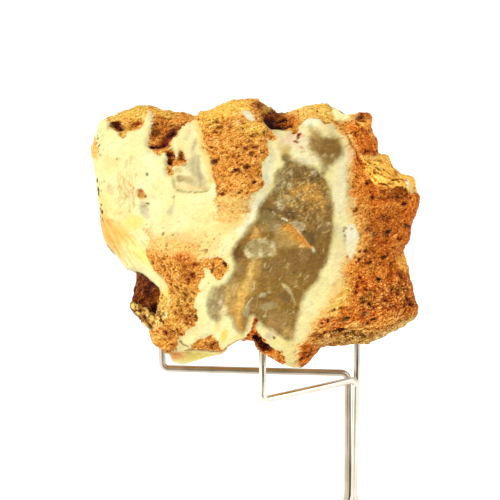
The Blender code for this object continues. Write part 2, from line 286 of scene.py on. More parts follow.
RED_HOLLOW = path("""
191 346 195 342 200 338 206 336 211 334 214.5 337 217.5 342 219.5 347 221 351 214 351 205 350
198 350.5 192 350.5
""")
BACK_LIP = path("""
164 352 172 351 182 352 191 352 205 351 214 353 222 353 230 350 228 358 200 366 184 373
167 365
""")
NOTCH = path("""
244 338 248 333.5 252 329 252 324 254 318.5 258 318 260 321 257 324 255.5 329 258 333
263 338 269 345 274 350 281 350 284 355 286 363 276 364 260 356 252 350 248 344
""")
NOTCH_SHADE = path("253 335 258 335 262 341 269 345 270 349 264 350 259 345 255 341")
BROWN_PATCH = path("300 346 304 343.5 310 343 314 345 316 349 313 357 309 364 301 366 299.5 358")
LEFT_STRIP = path("86 138 94 134 98 136 98 144 97.5 152 96 160 88 162")
CORE_MAIN = path("""
283 157 288 160 294 162.5 300 164.5 306 165.5 313 166.5 319 169.5 323 176 327 180 330 186
332 194 333 200 334 208 334.5 218 333.5 228 333 238 331.5 248 329.5 256 327 263 323 271
319 278 314 285 309 290 305 294.5 302.5 300 300.5 307 298.5 316 297 325 296 333 293 340
289 341 283 338 276 333.5 268 329 262 324.5 259 319 254 315.5 250.5 317.5 249.5 323
246.5 330 242 334.5 237.5 331 235 326 233.5 320 229 316 224.5 314 222 318 217.5 321.5
212.5 319 209 313 207.5 306 208.5 298 210.5 291 213 287.5 220 286.5 226 283.5 231 278
235 270 234.5 263 232.5 256 233.5 249 237 243 242.5 237.5 247.5 230.5 251 224.5 254.5 222.5
257 217 259 210 261 203 266 197.5 271.5 192 275 186.5 275 180 276 173.5 279.5 169.5
284.5 167.5 285.5 163.5
""")
CORE_LOBE = path("""
311 128 316 131.5 319 135 323 138 328 138 333 136.5 338 138 341.5 142 343 148 343 154
340.5 158.5 335 161.5 330.5 165 328 170 326 175 323.5 178 321 174 323 168 323.5 162
320.5 157.5 316.5 152.5 311.5 150 309.5 143 309.5 135
""")
CORE_FLAKE = path("262 207 272 209 290 224 313 250 305 273 285 296 250 302 239 262 256 233")
FLAKE_EDGE = path("262 207 272 209 290 224 313 250")
PALE_PATCH = path("""
242 250 244 246 247 242 251 240 255 238.5 259 238 263 238 267 240 271 240 274 242 276.5 246
277 250 273.5 252.5 269 254 265 256.5 260 257.5 255 260.5 250.5 258.5 247 256 243.5 253.5
""")
FACET_EDGE = path("290 223.5 296 229 301 234 307 241.5 313.5 250")
ORANGE_FACET = FACET_EDGE + path("303 249.5 292 249.5 277 249 276 243 272 239 278 230 284 224")
SMOOTH_FACE = path("""
93 136 142 134 147 156 170 159 176 119 196 119 213 193 247 210 265 187 273 147 313 124
345 139 353 176 353 262 339 290 313 330 285 364 222 342 199 330 202 273 165 244 156 290
125 259 102 233
""")

# Large relief: outline, height in millimetres (minus is sunk), width of its edge
RELIEF = [
    (CORNER, -2.5, 2.0),
    (SECOND, -2.4, 3.0),
    (SCAR, -1.3, 1.0),
    (BOSS, 2.6, 5.0),
    (TOP_HOLLOW, -4.0, 3.0),
    (CORE_MAIN, -0.9, 1.4),
    (KNOB, 2.2, 2.4),
    (LEDGE, 1.8, 1.6),
    (CAVITY, -6.5, 4.0),
    (LOWER_LUMP, 2.4, 3.5),
    (BACK_LIP, -5.0, 1.6),
    (RED_HOLLOW, -1.6, 2.0),
    (NOTCH_SHADE, -2.5, 1.8),
    (LEAF, -0.8, 0.7),
]

# Crust colours: light grains, ground, dark grains. Most are as they look in even light; gold, flame
# and red are lifted, above 255 in places, as painted light on the ledge, the knob and the right side,
# which the key lamp lights less.
PALETTES = {
    "orange": ((252, 194, 98), (236, 158, 66), (186, 96, 26)),
    "yellow": ((255, 222, 126), (250, 196, 88), (214, 136, 44)),
    "brown": ((226, 142, 62), (176, 92, 32), (92, 36, 12)),
    "red": ((256, 170, 76), (228, 122, 42), (144, 58, 16)),
    "crumb": ((255, 222, 110), (226, 164, 70), (112, 52, 16)),
    "dark": ((196, 106, 44), (122, 58, 20), (52, 18, 6)),
    "flame": ((276, 184, 72), (248, 134, 46), (150, 60, 14)),
    "gold": ((310, 258, 140), (302, 228, 96), (244, 154, 48)),
    "olive": ((234, 176, 84), (198, 128, 52), (112, 60, 20)),
    "peach": ((255, 228, 146), (252, 204, 116), (238, 164, 84)),
}

# Crusted areas in the order they are laid: outline, palette, grown by, soft edge, ragged edge
CRUSTS = [
    (LEFT_STRIP, "peach", -1.0, 4.0, 2.5),
    (CORNER, "yellow", 0.0, 1.0, 1.2),
    (SECOND, "orange", 0.0, 1.0, 1.2),
    (BOSS_FOOT, "peach", 1.0, 11.0, 5.0),
    (BOSS, "orange", 0.0, 1.8, 1.8),
    (TOP_BAND, "yellow", 0.0, 1.4, 1.2),
    (RIGHT_CRUST, "peach", 3.0, 8.0, 2.5),
    (RIGHT_CRUST, "orange", -2.0, 6.0, 3.0),
    (RIGHT_CRUST, "red", -12.0, 9.0, 4.0),
    (UNDERSIDE, "olive", 0.0, 2.0, 2.0),
    (KNOB, "flame", 0.0, 2.0, 2.0),
    (LEDGE, "gold", 0.0, 1.4, 1.5),
    (BAND_TOP, "peach", 1.0, 9.0, 5.0),
    (LEFT_BAND, "orange", 0.0, 1.8, 2.2),
    (INNER_BAND, "yellow", 0.0, 1.2, 1.0),
    (LUMP, "orange", 0.0, 0.8, 0.8),
    (LOWER_LUMP, "orange", 0.0, 1.0, 1.0),
    (RED_HOLLOW, "orange", 0.0, 1.0, 1.0),
    (NOTCH, "red", 0.0, 1.0, 1.2),
    (BROWN_PATCH, "red", 0.0, 1.6, 1.6),
    (CRUMB, "crumb", 0.0, 1.0, 1.6),
    # The rows below are painted shade over the crust's own colour: dark in the cavity, the hollows and
    # the pits, brown in the shadow under the ledge.
    (CAVITY, "dark", 0.0, 1.0, 0.8),
    (LEDGE_SHADE, "brown", 0.0, 1.6, 1.6),
    (TOP_HOLLOW, "dark", 0.0, 1.4, 1.4),
    (CORNER_PIT, "dark", 0.0, 1.0, 1.4),
    (SECOND_SHADE, "dark", 0.0, 1.4, 1.6),
    (SECOND_SPOT, "dark", 0.0, 1.0, 1.0),
    (NOTCH_SHADE, "dark", 0.0, 1.2, 1.2),
]

# Patches where the crust leans to another palette
CRUST_PATCHES = dabs("""
yellow .8: 165 113 18 4 5; gold .6: 371 130 3 10 -15, 353 142 3 8 -30; gold .7: 364 124 7 3;
flame .7: 358 162 4 10 -10; yellow .9: 340 298 7 20 30; gold .4: 380 324 22 5 -22;
orange .3: 218 268 6 8; yellow .5: 224 270 5 6; brown .8: 183 157 3.6 5.4, 276 110 5, 369 151 7 2.6;
orange .7: 178 163 8 3 -15, 276 354 8 5 20; orange .8: 169 170 3 6 -10; orange .4: 230 178 24 14;
peach .8: 232 200 22 8; red .7: 364 134 3 8; flame .4: 372 188 10 5; yellow .7: 378 190 4 3 10;
brown .3: 388 222 18; orange .4: 396 246 9 7; yellow .4: 187 302 9 14; brown .4: 147 292 10 12,
370 258 10 8, 186 320 6 7, 194 317 3.6 4; flame .8: 386 274 13 9 -10; yellow .4: 352 262 3 10;
gold .8: 402 262 5 10 -15; brown .6: 160 134 12, 402 276 5 6, 213 345 5; orange .9: 160 153 7 4 20;
brown .7: 156 134 4.5 4, 156 124 4 2.6; orange .5: 393 174 8 3 20, 160 264 12 16 -30, 203 341 8 5;
peach .8: 170 244 16 6 10; gold .5: 400 185 10 4; gold .8: 409 185 5 8; flame .7: 385 187.5 7 2.6 -5;
orange .7: 360 190 7 30; flame .4: 358 186 7 32, 372 192 9 6; brown .4: 376 225 9 6 -20, 388 216 6 5;
orange .3: 392 208 16 6; brown .5: 368 230 5 4 -30, 386 232 6 4 -30; brown .6: 188 272 8 12 10;
orange .4: 175 285 8 10; red .6: 185 257 13 6 8; brown .6: 196 264 4; yellow .6: 172 308 6 14,
158 340 8 9 20; yellow .4: 177 325 9 6; red .4: 183 334 4 5; brown .5: 168 334 6 5 20;
orange .5: 157 304 4 8; dark .5: 146 290 8 9; yellow .3: 183 300 9 14 -30; orange .6: 130 124 14 7,
189 116 8 4 20, 372 268 14 7, 310 340 7; yellow .7: 124 133 4; yellow .9: 225 110 30 10 -12;
gold .6: 226 109 32 10 -14; gold .5: 250 127 16 5 8; yellow .8: 250 130 14 9; flame .6: 351 272 5 12;
red 1: 358 287 6 16 10; red .6: 345 314 12 4 -30; brown .5: 345 318 6 5 -10; brown .7: 307 354 5 8 30;
red .7: 184 113 3 2.4, 308 347 5 3; brown .9: 136 125 6 2.4 -10; yellow .6: 208 124 14 6;
orange .8: 270 134 8 4 35; brown .8: 258 105 6 5 30; brown .3: 384 248 22 26; brown .2: 385 220 20 18;
red .8: 384 288 9 4 10; olive .5: 372 300 14 10; olive .6: 400 290 10 8; brown .3: 392 306 12 4;
brown .6: 408 304 7; yellow .6: 358 325 14 3.4 -5; red .5: 362 284 8 16 20; orange .5: 336 336 16 5;
yellow .5: 350 340 18 5; peach .5: 324 342 10 4 -10; red .8: 325 322 6 4; yellow .3: 352 285 4.5 18;
orange .6: 259 116 6 8 -35, 398 318 12 5 -30, 385 326 16 5 -20; brown .9: 277 119 13 8;
brown .4: 287 122 6; red .8: 292 122 8 7; gold .4: 309 109 24 7 -8; orange .5: 296 114 6 4;
orange .6: 287 119 6 4 10, 277 112.5 7 3.4 30; gold .7: 337 119 3 8 -20; orange .8: 345 128 5 12 -35;
peach .9: 342 117 8 6 10; peach .6: 352 117 6 4; peach .5: 353 119 6 5 20; yellow .3: 372 336 16 5 -12;
brown .8: 276 119 9 7 10; peach .4: 310 112 17 5
""")

# Soft dabs on the smooth skin. The one at 341, 113, above 255, is painted light on the crest, which
# faces away from the key lamp.
SKIN_DABS = dabs("""
254 246 176 .9: 208 300 12 22, 225 330 12; 254 246 176 .3: 150 175 60 50; 252 236 162 .4: 120 160 20 34;
248 227 162 .7: 137 173 3 2.6; 250 212 96 .9: 224 336 3.6 7 20; 251 224 138 .8: 217 327 2.6 6 5;
252 239 186 .8: 346 160 8 16; 245 212 171 .9: 287 139 10 9, 352 156 5 6 -10;
254 246 176 .8: 279 135 7 5; 232 208 143 .9: 110 190 3.6 6 -10, 282 147 6;
249 220 147 .6: 127 190 10 14 -20; 207 149 64 1: 141.5 194.5 4.4 5.4; 153 68 24 .9: 141 190.5 3 1.6;
153 68 24 .7: 139 195 1 3; 209 179 107 1: 286 152 5 7 35; 209 179 107 .8: 293 157 6 3 20;
151 120 66 .9: 287 158 4.6 4; 249 220 147 .8: 256 320 6 5; 252 236 162 .8: 107 124 9 7 -30;
254 248 186 .6: 118 143 16 8; 252 236 162 .5: 104 150 5 14; 253 233 150 .6: 109 165 9 10;
249 220 147 .5: 114 162 9 5; 251 224 138 .6: 103 205 6 16; 243 185 89 .9: 105 228 6 14 -12;
238 160 70 .8: 110 222 6 4 20; 252 204 102 .9: 118 232 12 9 30; 243 185 89 .8: 112 243 5 12 -30;
252 204 102 .7: 126 238 12 5 42; 243 185 89 .7: 120 248 3 9 -24; 256 230 120 .8: 133 222 12 8 -10;
251 224 138 .5: 122 212 12 6; 207 196 147 1: 143 208 5 7; 252 236 162 .6: 158 232 18 8 15;
255 246 148 .8: 136 250 16 8 42; 255 244 132 .8: 150 262 18 5 42; 222 206 161 .8: 146 214 4 6 -10;
207 196 147 .9: 171 210 3 5.4 22; 254 246 176 .6: 200 205 30 12, 204 285 4 6;
252 236 162 .6: 186 228 34 12; 256 230 120 .9: 166 296 4 12 5; 253 233 150 .8: 213 236 24 14,
238 338 8 3 -25; 253 217 129 .6: 196 238 20 8 10; 253 233 150 .6: 208 214 10 14;
250 208 128 .8: 178 240 24 8 5; 253 217 129 .8: 234 220 18 8 -20; 251 224 138 .6: 212 250 16 8;
254 248 186 .8: 226 246 7 14 30; 256 249 202 .8: 246 226 4 14 38; 256 249 202 .9: 256 205 6 16 30;
256 249 202 .8: 252 214 5 12 30; 254 246 176 .7: 244 212 6 5 -40; 252 236 162 .9: 192 336 12 7;
256 230 120 .9: 196 357 22 5 -4; 250 184 112 .9: 176 356 8 5; 252 236 162 .8: 186 345 6 5 30;
252 239 186 .9: 301 142 8 16, 340 190 8 36, 203 347.5 3 1.4; 256 249 202 1: 311 122 12 6;
254 248 186 .7: 300 156 10 4 8; 252 239 186 .9: 312 159 14 5 15; 249 220 147 .7: 350 180 5 30;
250 206 123 .6: 351 212 5 22; 207 196 147 .5: 336 232 3 9; 222 206 161 .7: 300 161 8 3 10, 342 234 4 7;
248 227 162 .9: 326 130 12 7 20, 339 258 7 26 8, 270 332 10 6 35; 179 158 107 .7: 294 163 4 3;
250 206 123 .7: 347 262 4 14 10; 222 206 161 .9: 269 337 5 3.6 20; 256 249 202 .9: 268 172 6 22 10;
245 212 171 .4: 300 142 7 12; 252 239 186 .7: 273 158 4 10 20; 298 288 206 1: 341 113 10 7 20;
245 212 171 .5: 350 156 4 6; 252 236 162 .9: 322 298 14 16 20; 250 206 123 .8: 336 290 6 18 30,
222 352 7 3 -15; 253 217 129 .8: 322 314 7 14 38; 253 217 129 .7: 310 326 4 14 20;
252 236 162 .9: 304 324 8 18; 253 233 150 .9: 294 352 12; 253 233 150 .8: 280 342 8 5 30
""")

# Milky and grey marks in the flake scar
SCAR_DABS = dabs("""
222 206 161 .9: 187 134 2.6 8 10; 194 182 138 1: 194.5 144 2.6 7 12; 207 196 147 .8: 189 164 5 7;
207 196 147 1: 196 166 6 16 -6; 207 196 147 .9: 201 176 5 14 -8; 172 164 125 .9: 199.5 172 1.8 17 -4;
172 164 125 .7: 193 166 1.6 12 -6; 167 143 91 1: 180 179 4.4 4; 214 192 127 .9: 180.5 178.5 1.7;
194 175 119 .9: 188 181 5; 214 192 127 .8: 179 171 4 3; 207 196 147 .8: 194 184 4;
249 220 147 .8: 190 188 16 2.4; 214 192 127 .7: 205 188 4 2.4; 254 248 186 .8: 204 165 3 14 -8;
252 236 162 .7: 182 146 8 6; 252 236 162 .6: 184 132 5 6 20
""")

# Shapes in the glassy core: soft edge, ragged edge, colour, share, outline
CORE_AREAS = [
    (4.0, 1.0, (186, 166, 114), 0.75, path("""
        212 288 220 287 227 289 227 298 222 306 222 314 223 320 217 322 211 319 208 311 208 300
    """)),
    (5.0, 0.8, (212, 168, 84), 0.9, path("""
        256 258 263 262 260 272 256 284 251 296 246 307 242 315 246 322 244 332 238 332 235 322 227 314
        228 306 233 297 239 286 244 273 249 262
    """)),
    (1.6, 0.6, (108, 84, 46), 0.85, path("""
        300 231 304 229 310 230.5 315 237 315 244 311 245 306 240
    """)),
    (1.8, 0.8, (216, 164, 76), 0.9, path("""
        253 223 257 227 261 233 264 240 258 241 252 240 250 236 252 230
    """)),
    (1.6, 0.8, (170, 118, 52), 0.9, path("""
        251 224 253.5 227 251 236 250 240 245 243 240 248 236 246 243 238 248 231
    """)),
    (3.0, 0.8, (122, 88, 38), 0.9, path("""
        234 247 240 243 243 248 243 254 240 262 234 262 232 255
    """)),
    (1.2, 0.8, (186, 168, 132), 0.85, path("""
        291 223 296 221 302 222.5 304.5 225 305 228 301 229.5 298.5 231 296 229 293.5 226
    """)),
    (1.4, 1.0, (176, 152, 104), 0.7, path("""
        317 229 318.5 225.5 322.5 222.5 328 221.5 331.5 224.5 330.5 229.5 326.5 233.5 321 233.5
    """)),
    (1.2, 0.4, (190, 180, 146), 0.7, path("""
        252.5 298.5 250.5 306 250.5 313 247 319 243.5 317 243 311 246 306
    """)),
    (0.7, 0.4, (208, 190, 128), 0.95, path("""
        281 282.5 285 283 289 286.5 292 291.5 294.5 298 295.5 303.5 293.5 302 291.5 297 288 291.5 284.5
        288.5
    """)),
]

# Soft dabs in the glassy core
CORE_DABS = dabs("""
252 204 102 .6: 244 294 22 4.6 110; 138 103 49 .6: 331 147 14 12 20; 166 131 73 .8: 315 140 6 12 -15;
205 165 93 .7: 312 133 4 6 -10; 180 140 82 .9: 241 268 6 9; 205 165 93 .8: 232 287 8 12 20;
119 92 55 .8: 287 162 4 5; 167 143 91 .9: 284 176 8 12; 167 143 91 .7: 296 172 8 7;
207 196 147 .9: 291 175 3.2 3.6; 166 131 73 .7: 330 159 9 5; 214 192 127 .9: 325 155.5 2.3, 333 156 2.5;
166 131 73 .7: 338 157 3; 179 158 107 .9: 326 169 5 7, 278 184 4 9 10; 207 196 147 .8: 281 187 4 3;
207 196 147 .7: 284 194 1.2 3 30; 194 175 119 .8: 294.5 312 1.6; 194 182 138 .9: 290 187 4.4;
194 175 119 .7: 297 181 1.4 4 20; 151 120 66 .8: 305 170 14 5; 145 108 53 .8: 303 178 13 6;
194 182 138 .9: 314 172 4 3.4; 245 212 171 .7: 316.5 174 1.3; 119 92 55 .8: 321 177 5;
151 120 66 .6: 312 178 6 4; 207 149 64 .9: 304 190 14 8, 314 203 14 16; 207 149 64 .7: 324 207 5 10;
190 156 87 .7: 298 203 10 8; 151 120 66 .8: 281 195 9 6; 207 196 147 .9: 279 203 5 6 20;
179 158 107 .6: 288 199 6 4; 166 131 73 .6: 330 200 3 14; 207 196 147 .8: 328.5 195 2.4 4.5 20;
222 206 161 .7: 281 207 3; 119 92 55 .9: 275 210 6 4 45, 290 213 10 4 10; 138 103 49 .8: 268 200 5 9 25,
311 216 14 5, 323 240 9 14; 167 143 91 .9: 268 218 10; 151 120 66 .7: 328 208 4 12;
209 179 107 .9: 319 219 3.4 2.4; 179 158 107 .9: 280 228 14 7 20; 190 156 87 .8: 264 226 5;
228 178 89 .9: 256 231 3 5 -20; 190 156 87 .7: 285 243 12 6; 138 103 49 .8: 302 262 24 18;
145 108 53 .7: 285 268 20 12 -15; 151 120 66 .7: 270 265 10; 236 196 107 1: 249 279 3.4 20 17;
243 185 89 1: 242 300 3.4 16 16; 207 149 64 .9: 236 316 5 9 10, 240 325 5 8; 248 227 162 1: 224 311 4 7;
236 196 107 .8: 227 298 3.4 11 5; 179 158 107 .7: 215 312 4 8; 194 175 119 .8: 269.5 291.5 2.6 2.2,
210.5 299 7.5 14; 166 131 73 .7: 256 306 6 8; 194 182 138 .9: 262.5 295 4 3, 323 274 3 3.4;
179 158 107 .9: 268 306 8.5 4.5 -8; 222 206 161 .7: 269.5 317 1.6 1, 213 288 1.2 2.4 20;
222 206 161 .8: 265 316 1.8 1.2; 119 92 55 .6: 284 297 7 5 20; 166 131 73 .9: 280 321 16 11,
325 228.5 3.4 2.4; 194 175 119 .9: 287 265.5 1.8 3.2; 205 165 93 .9: 288 333 7;
180 140 82 .7: 272 325 6 4 30; 245 212 171 .8: 219 304 2.6 3; 248 227 162 .8: 221.5 313 3 4 20;
228 178 89 .8: 238 317 5 10 12; 166 131 73 .6: 246 330 3 5 20
""")

# Chips and lights on the orange facet of the core
FACET_DABS = dabs("""
222 208 160 .6: 273 243 2.4 4 -20; 250 242 204 1: 314 250 2.3; 246 206 122 .9: 301 246.5 4 1.4 -10
""")

# Stretches of the left edge with dark specks: u, v and half widths
SPECKED_EDGES = [(100, 144, 3.2, 13), (98.5, 187, 3.2, 11), (101.5, 213, 3, 10)]

# Small marks in the crust and on the skin. A mark is pale if its red, green and blue sum to
# more than PALE, and then it clears the crust. One below DARK is sunk into it.
PALE = 660
DARK = 420
# The near-black marks in the top hollow and in the pits are painted shade.
MARKS = dabs("""
108 59 21 .9: 264 132.5 1.8 2.2, 217.5 120.6 3 1.3 15, 378 168.2 2.6 .9 30, 390.6 264.4 1.1 3 10,
355 334.6 3 1.2 10, 380.6 336 2 .9 -10, 101.4 208.6 .8 1.2, 163.4 323 1.6 1, 149 326 2 4 -35;
140 121 72 .7: 350.8 228.8 1.5 1.3, 113 140.8 1 .8, 163 227.8 .9, 208.4 283.4 .8 .7;
164 94 43 .7: 211 140 3 .8 5, 246 148 3 1.4, 354 257 3.4 .9 -60, 271 112 3 1.4 30;
91 46 19 1: 213.5 162 4 3 -10, 384 257 3 2.4 -10, 144 317 3 3.6 -20, 173.6 331 3 .9 25;
131 74 31 .9: 255 146.6 5 1.6, 252 153.6 3.4 2.6 20, 375.6 172.6 1.6 2.2 -20, 346.6 341 4 1.4;
147 95 56 .9: 374.6 233.6 3 2.6 -40, 156.6 133.4 3 2.4, 163.6 233.2 1.4 1.6, 173 234.6 1.2 .9;
181 95 36 .8: 253 328.6 1.6 2, 270 357 2 1.2 20, 186.6 296 2.6 2 20, 294 117 1.6 .9;
200 174 109 .7: 355.5 233.5 .8 .6, 173 203 .7 2.6 20, 293 344.5 .9; 113 93 51 .7: 344.8 228.8 1.6 1,
343.8 236 1 1.6, 356.4 225.6 1.2 1; 37 15 10 .9: 361.6 116 2.6 2.2, 267 120 3 4 20, 272 125 4 2 20;
91 60 39 1: 407.6 225 2.8 2.2 10, 336 331 6 1.3 -8, 273.6 338.6 .9 1.9 -20;
141 35 11 .9: 360.4 278.4 1.8 2.4, 363.4 282.6 1.6 2, 358.4 286 1.6 2.4;
249 241 199 1: 248 114 7 3.6 35, 250.5 118 5 2.6 20; 105 80 33 .8: 249 141 1.4, 363 334.4 1.6 2.4;
200 112 41 .8: 346.6 256.4 1.6 1.4, 287 122 3 2; 37 15 10 1: 410.8 226.4 1.2 1.6, 145 196.4 .9 1;
141 35 11 .8: 411 233 1.6 2, 356.6 292 2.2 1.6 20; 91 60 39 .9: 387 231.4 5 1.8 -32,
364.6 313.6 2.6 2.2 20; 180 106 64 .6: 214 176 2.4 3, 366 315 2.4 2, 185 259.5 3 2;
170 72 19 .9: 391.6 293.4 2.2 1.6 10, 136.4 124.6 5 1.4 -10; 113 93 51 .9: 363.4 298.4 2.8 1.9,
346.6 318.6 3 2.4 -15; 57 28 12 .8: 281 126 3 1.6 10, 349 318 1 1.6; 180 106 64 .7: 368 228.8 3.6 2 -25,
345 322 3 1.2 -10; 113 93 51 1: 147 173.6 .9 1.9 -5, 98.2 189.6 .8 3 -10;
140 121 72 .8: 174.4 198 .9 1.8 20, 104.4 181.4 .9; 150 83 31 .9: 163 267 1.2 3.4 -40,
172.4 344.4 2.2 .8; 239 166 89 .7: 174 356 4.5 3 -20; 256 216 127 .8: 238 124 2 5 30;
105 80 33 .9: 242 128.8 1.4 1.1, 363.6 302.4 1.6 1.2, 194 192.6 .9 .6, 210.6 181.4 .9 1.4,
100.6 183.4 1.4 .7; 213 135 58 .7: 243.5 122 3.4 1.6 10, 321.6 116.6 1.6 .7; 70 24 9 .8: 219 176 1;
180 106 64 .9: 301.4 147 2.4 1 30; 221 197 144 .7: 303.5 151.5 3.4 1.4, 204 297 1 1.6;
221 197 144 .9: 350.5 229.5 1.4; 91 60 39 .8: 343.6 231.2 .8 .9; 141 35 11 1: 368.4 151.2 2.4 1.6;
170 72 19 .8: 364 129.6 2.4 1.6, 374 151 2 1.6, 364.6 152.4 2 1.4, 405 305 1.4 3 10, 340.6 308.4 2 1.4,
213.6 264 1.4 3; 113 93 51 .8: 379.4 280 3.2 2.8; 107 43 15 1: 401.6 275 3 2.2 20;
164 94 43 .8: 278 116 4 2 20, 403.6 272 2.6 2.4, 124.6 136.4 1.2 .9, 185.6 247 1.1 .9;
131 74 31 .7: 398 322 2 .8 -40; 105 80 33 1: 117 158.6 1.5 .7; 221 197 144 .8: 196.5 213 1.3 1;
188 149 90 .8: 192.5 230.5 .8; 57 28 12 .7: 147 291 2.6 7 -10; 43 12 5 .9: 152 286.6 4 1.6 35,
154.6 307 2 4.6, 272 123 5 2.6 25; 181 95 36 .7: 262 184 2 2.4, 371 129 1.2 4 10, 171 264.6 .9 3 -30,
168 276 .8 2.4 -35, 187.4 306.6 2 2.6, 176 313.6 1.6 3, 158 331.6 2 .7 40, 204.6 343 1.6 1,
157.4 297 2 5; 43 12 5 1: 405 203.6 3 2 -15, 256.6 338 3.6 2 15, 153 147.6 2.6 1.6 20, 280 126.6 4 2;
57 28 12 1: 379.6 280.2 1.9 1.6, 261 341.6 1.6 2.6 -20, 147.4 203.4 1.7 1.2, 98.8 194 .8 1.6,
101 204.4 .9 1.2, 103.2 211.6 1 1.9 10, 224.4 264.4 2.6 1.4 35; 85 32 11 1: 236.5 169.6 3.6 1.9 -10,
387 185.2 2.6 1.1 15, 373.4 198 1.8 2.6, 411 305 2.4 2.4 20, 266 345.6 3.6 2 30, 343.6 329.4 3.4 1.4,
117.4 125 5 3.2 25, 166.4 333.4 1.7 3 -10; 108 59 21 .8: 240 171.6 2.4 1.2, 258.5 174.5 1 1.4,
104.6 221 .6 1; 91 46 19 .9: 238.6 155.4 1.8 1 -40, 261.6 176 .9 2.2 -15, 382 174 2.4 .9 -25,
401.4 286.6 1.4 1.2, 370.2 305 1.6 2.6 -20, 373.6 319.2 3.4 1.3, 305 352.6 2.6 1 -20, 309.6 356 3 1 -25,
302 360 1.6 2.6, 162.8 235 1 .7, 140.6 310.6 1.6 3 -30; 131 74 31 .8: 221.5 153.4 3 1 -25,
263 151.4 3 .9 -5, 224 176.6 2.6 .9 -10, 218.4 206 .8 1.4, 388 253.6 2 2.6 -20, 405 288.6 2.4 1.4 20,
397.6 288 2 1.2, 371.6 334 2.4 2, 361.6 329.4 2 .9, 158.8 315 .7 1.6; 57 28 12 .9: 389.8 230.4 1.4 1.2,
226 266.4 1; 85 32 11 .8: 402 205 1.8 1.2; 188 149 90 .6: 143.5 206.5 3.4 1 10;
108 59 21 .6: 139 318 3 5 -40; 131 74 31 .6: 139 283 1.4 5 10; 143 66 21 .9: 215 132 3 1.4 15,
218.6 187.4 1.4 3.4 20, 368 184 3.4 1.4 30, 180.6 155 1.4 3, 188 281 2 3.6, 195 264.4 2.6;
150 83 31 .8: 208.5 119 1.6 .9, 220 126.8 3.4 .8 20, 229 127.6 3 .9 5, 232 172.6 3 1 -15, 217.8 193 1 3,
178.6 303.4 .9 3.6; 124 61 22 .9: 210 123.6 2.8 .9 10, 211.6 147.6 2.2 1.6, 222.5 194 2.6 2 20,
358 118.4 2.6 1.8 -20, 381.6 184.4 3 .9, 248.4 335 1.5 1.4, 312 348.6 2 1.2 -30, 193 275 2.6 3.4,
195.4 316.6 1 1.8 -10, 259.4 105 1.8 2.8 -10; 213 135 58 .6: 255 106 1.6 2, 312 113.5 2.4 .7 -10;
124 61 22 .8: 220.5 133 1.4 1.1, 217 160 3 1.4 -20, 356 177 2 .9 20, 348.4 181.6 1.4 .7, 372 193 2 1.4,
388.6 218.6 2.6 1.6, 374.6 251.6 1.6 1.2, 371 294 1.6 1.2, 350 309.4 2.4 .9 -10, 367.6 337 2 1,
394 326 2.6 .9 -30, 113.4 122 2.4 1.2 10, 171 126 3.4 1 -30, 152.4 263 1 1.6 -10, 277 113 3 2 20;
200 112 41 .7: 291 126 2.4 1.6, 283.6 357.6 1.2 1.8, 157 117 2 .8, 168.6 118.4 6 .8, 221.4 271 1 2.4 10,
326.6 117 3 .7 10; 70 24 9 .9: 203.6 147.4 1.6 1.1, 122 128.4 2.4 1.6 20, 169 162.6 1.4 2,
174.6 268.2 .8 1, 289 125.6 1.6; 147 95 56 .7: 346.6 191.6 .8, 384 216.4 3 1.6 10, 181.6 341 1.6 .8 40;
150 83 31 .7: 228 157 3 .7 -25, 225 190.6 2 1.4, 366 163.8 1.6 .7 30, 339 339.4 2.6 1.2 10;
107 43 15 .9: 246.5 166 3.8 2.8, 238.6 192.6 1.8 1.2, 385.6 300 2.6 2.4, 368.6 322.6 1.6 2,
278.6 352 1.3 .9, 325 331.4 1.9 1.2 -20, 181.4 158 1.6 1.4, 185.6 318.6 1.9 1.6, 186 323.4 1.6 1.4,
163.6 331 1.2; 164 94 43 .6: 240 163.5 4 1.6 -10; 124 61 22 .8: 321.6 335 1 3 35;
150 83 31 .7: 317 335 1.6; 143 66 21 .8: 246.8 193.4 1.4 1.1 -20, 304.6 347 2 1.2, 368.6 329.4 1.6 .8,
153.6 125.6 2.2 1.6, 190.4 301 .9 2.2, 176.6 349 .8 1.2; 91 11 5 1: 297.6 136.4 1.4 3 10,
398.6 238.6 2.8 1.9 15, 359.2 251.4 1.9 1.2, 327.6 320.6 1.4 2.6 -15, 322.4 322.8 1.6 1.4;
113 21 8 .9: 299.4 134.4 2 1.2, 395 307.2 3.4 1.4 10, 321.6 327.4 1.2 1; 107 43 15 .8: 390.4 306.6 1.4,
216.4 341.6 1; 113 21 8 1: 296 141.6 2.6 1.4 10; 239 166 89 .8: 303 135.5 1.8 1.2;
200 112 41 .9: 295.5 131 2.6 3.4 20; 180 106 64 .8: 284 113.6 3 1.6 30;
91 46 19 .8: 365.6 113.2 2.4 1.2, 136 306 1.2 1, 283.6 120 2 1.6; 213 135 58 .8: 367 117.4 3.4 2.8;
143 66 21 .8: 363.6 120.6 3 .9; 70 24 9 1: 356.8 132.4 1.9 1.5, 359.8 260 2.2 1.8,
256.6 320.4 1.9 1.2 20, 171.6 133.6 3.4 3 -30, 168 137 4.4 2.6 -20, 169 155 2.6 1.8, 212.6 344.6 1.6 1;
85 32 11 .9: 365.4 289.8 1.9 1.2, 408.6 300 2.2 2.6, 254.6 322.6 .9 1.4, 346.4 334.2 1.9 1 -20,
212 270.6 1.5 2, 164 270 1, 171.4 283 .9 1, 184 300.4 1.6 1; 143 66 21 .9: 352.6 132.4 2.4 1.4 -30;
150 83 31 .8: 358.4 135.6 3 1 10; 91 46 19 .8: 412.6 298 2 1 -20; 91 11 5 1: 164 144 4 3 -40;
70 24 9 1: 158 147.6 3.4 1.6; 180 106 64 .8: 172.6 157.6 2 1.8; 107 43 15 .9: 210.6 347.4 1.2 2
""")
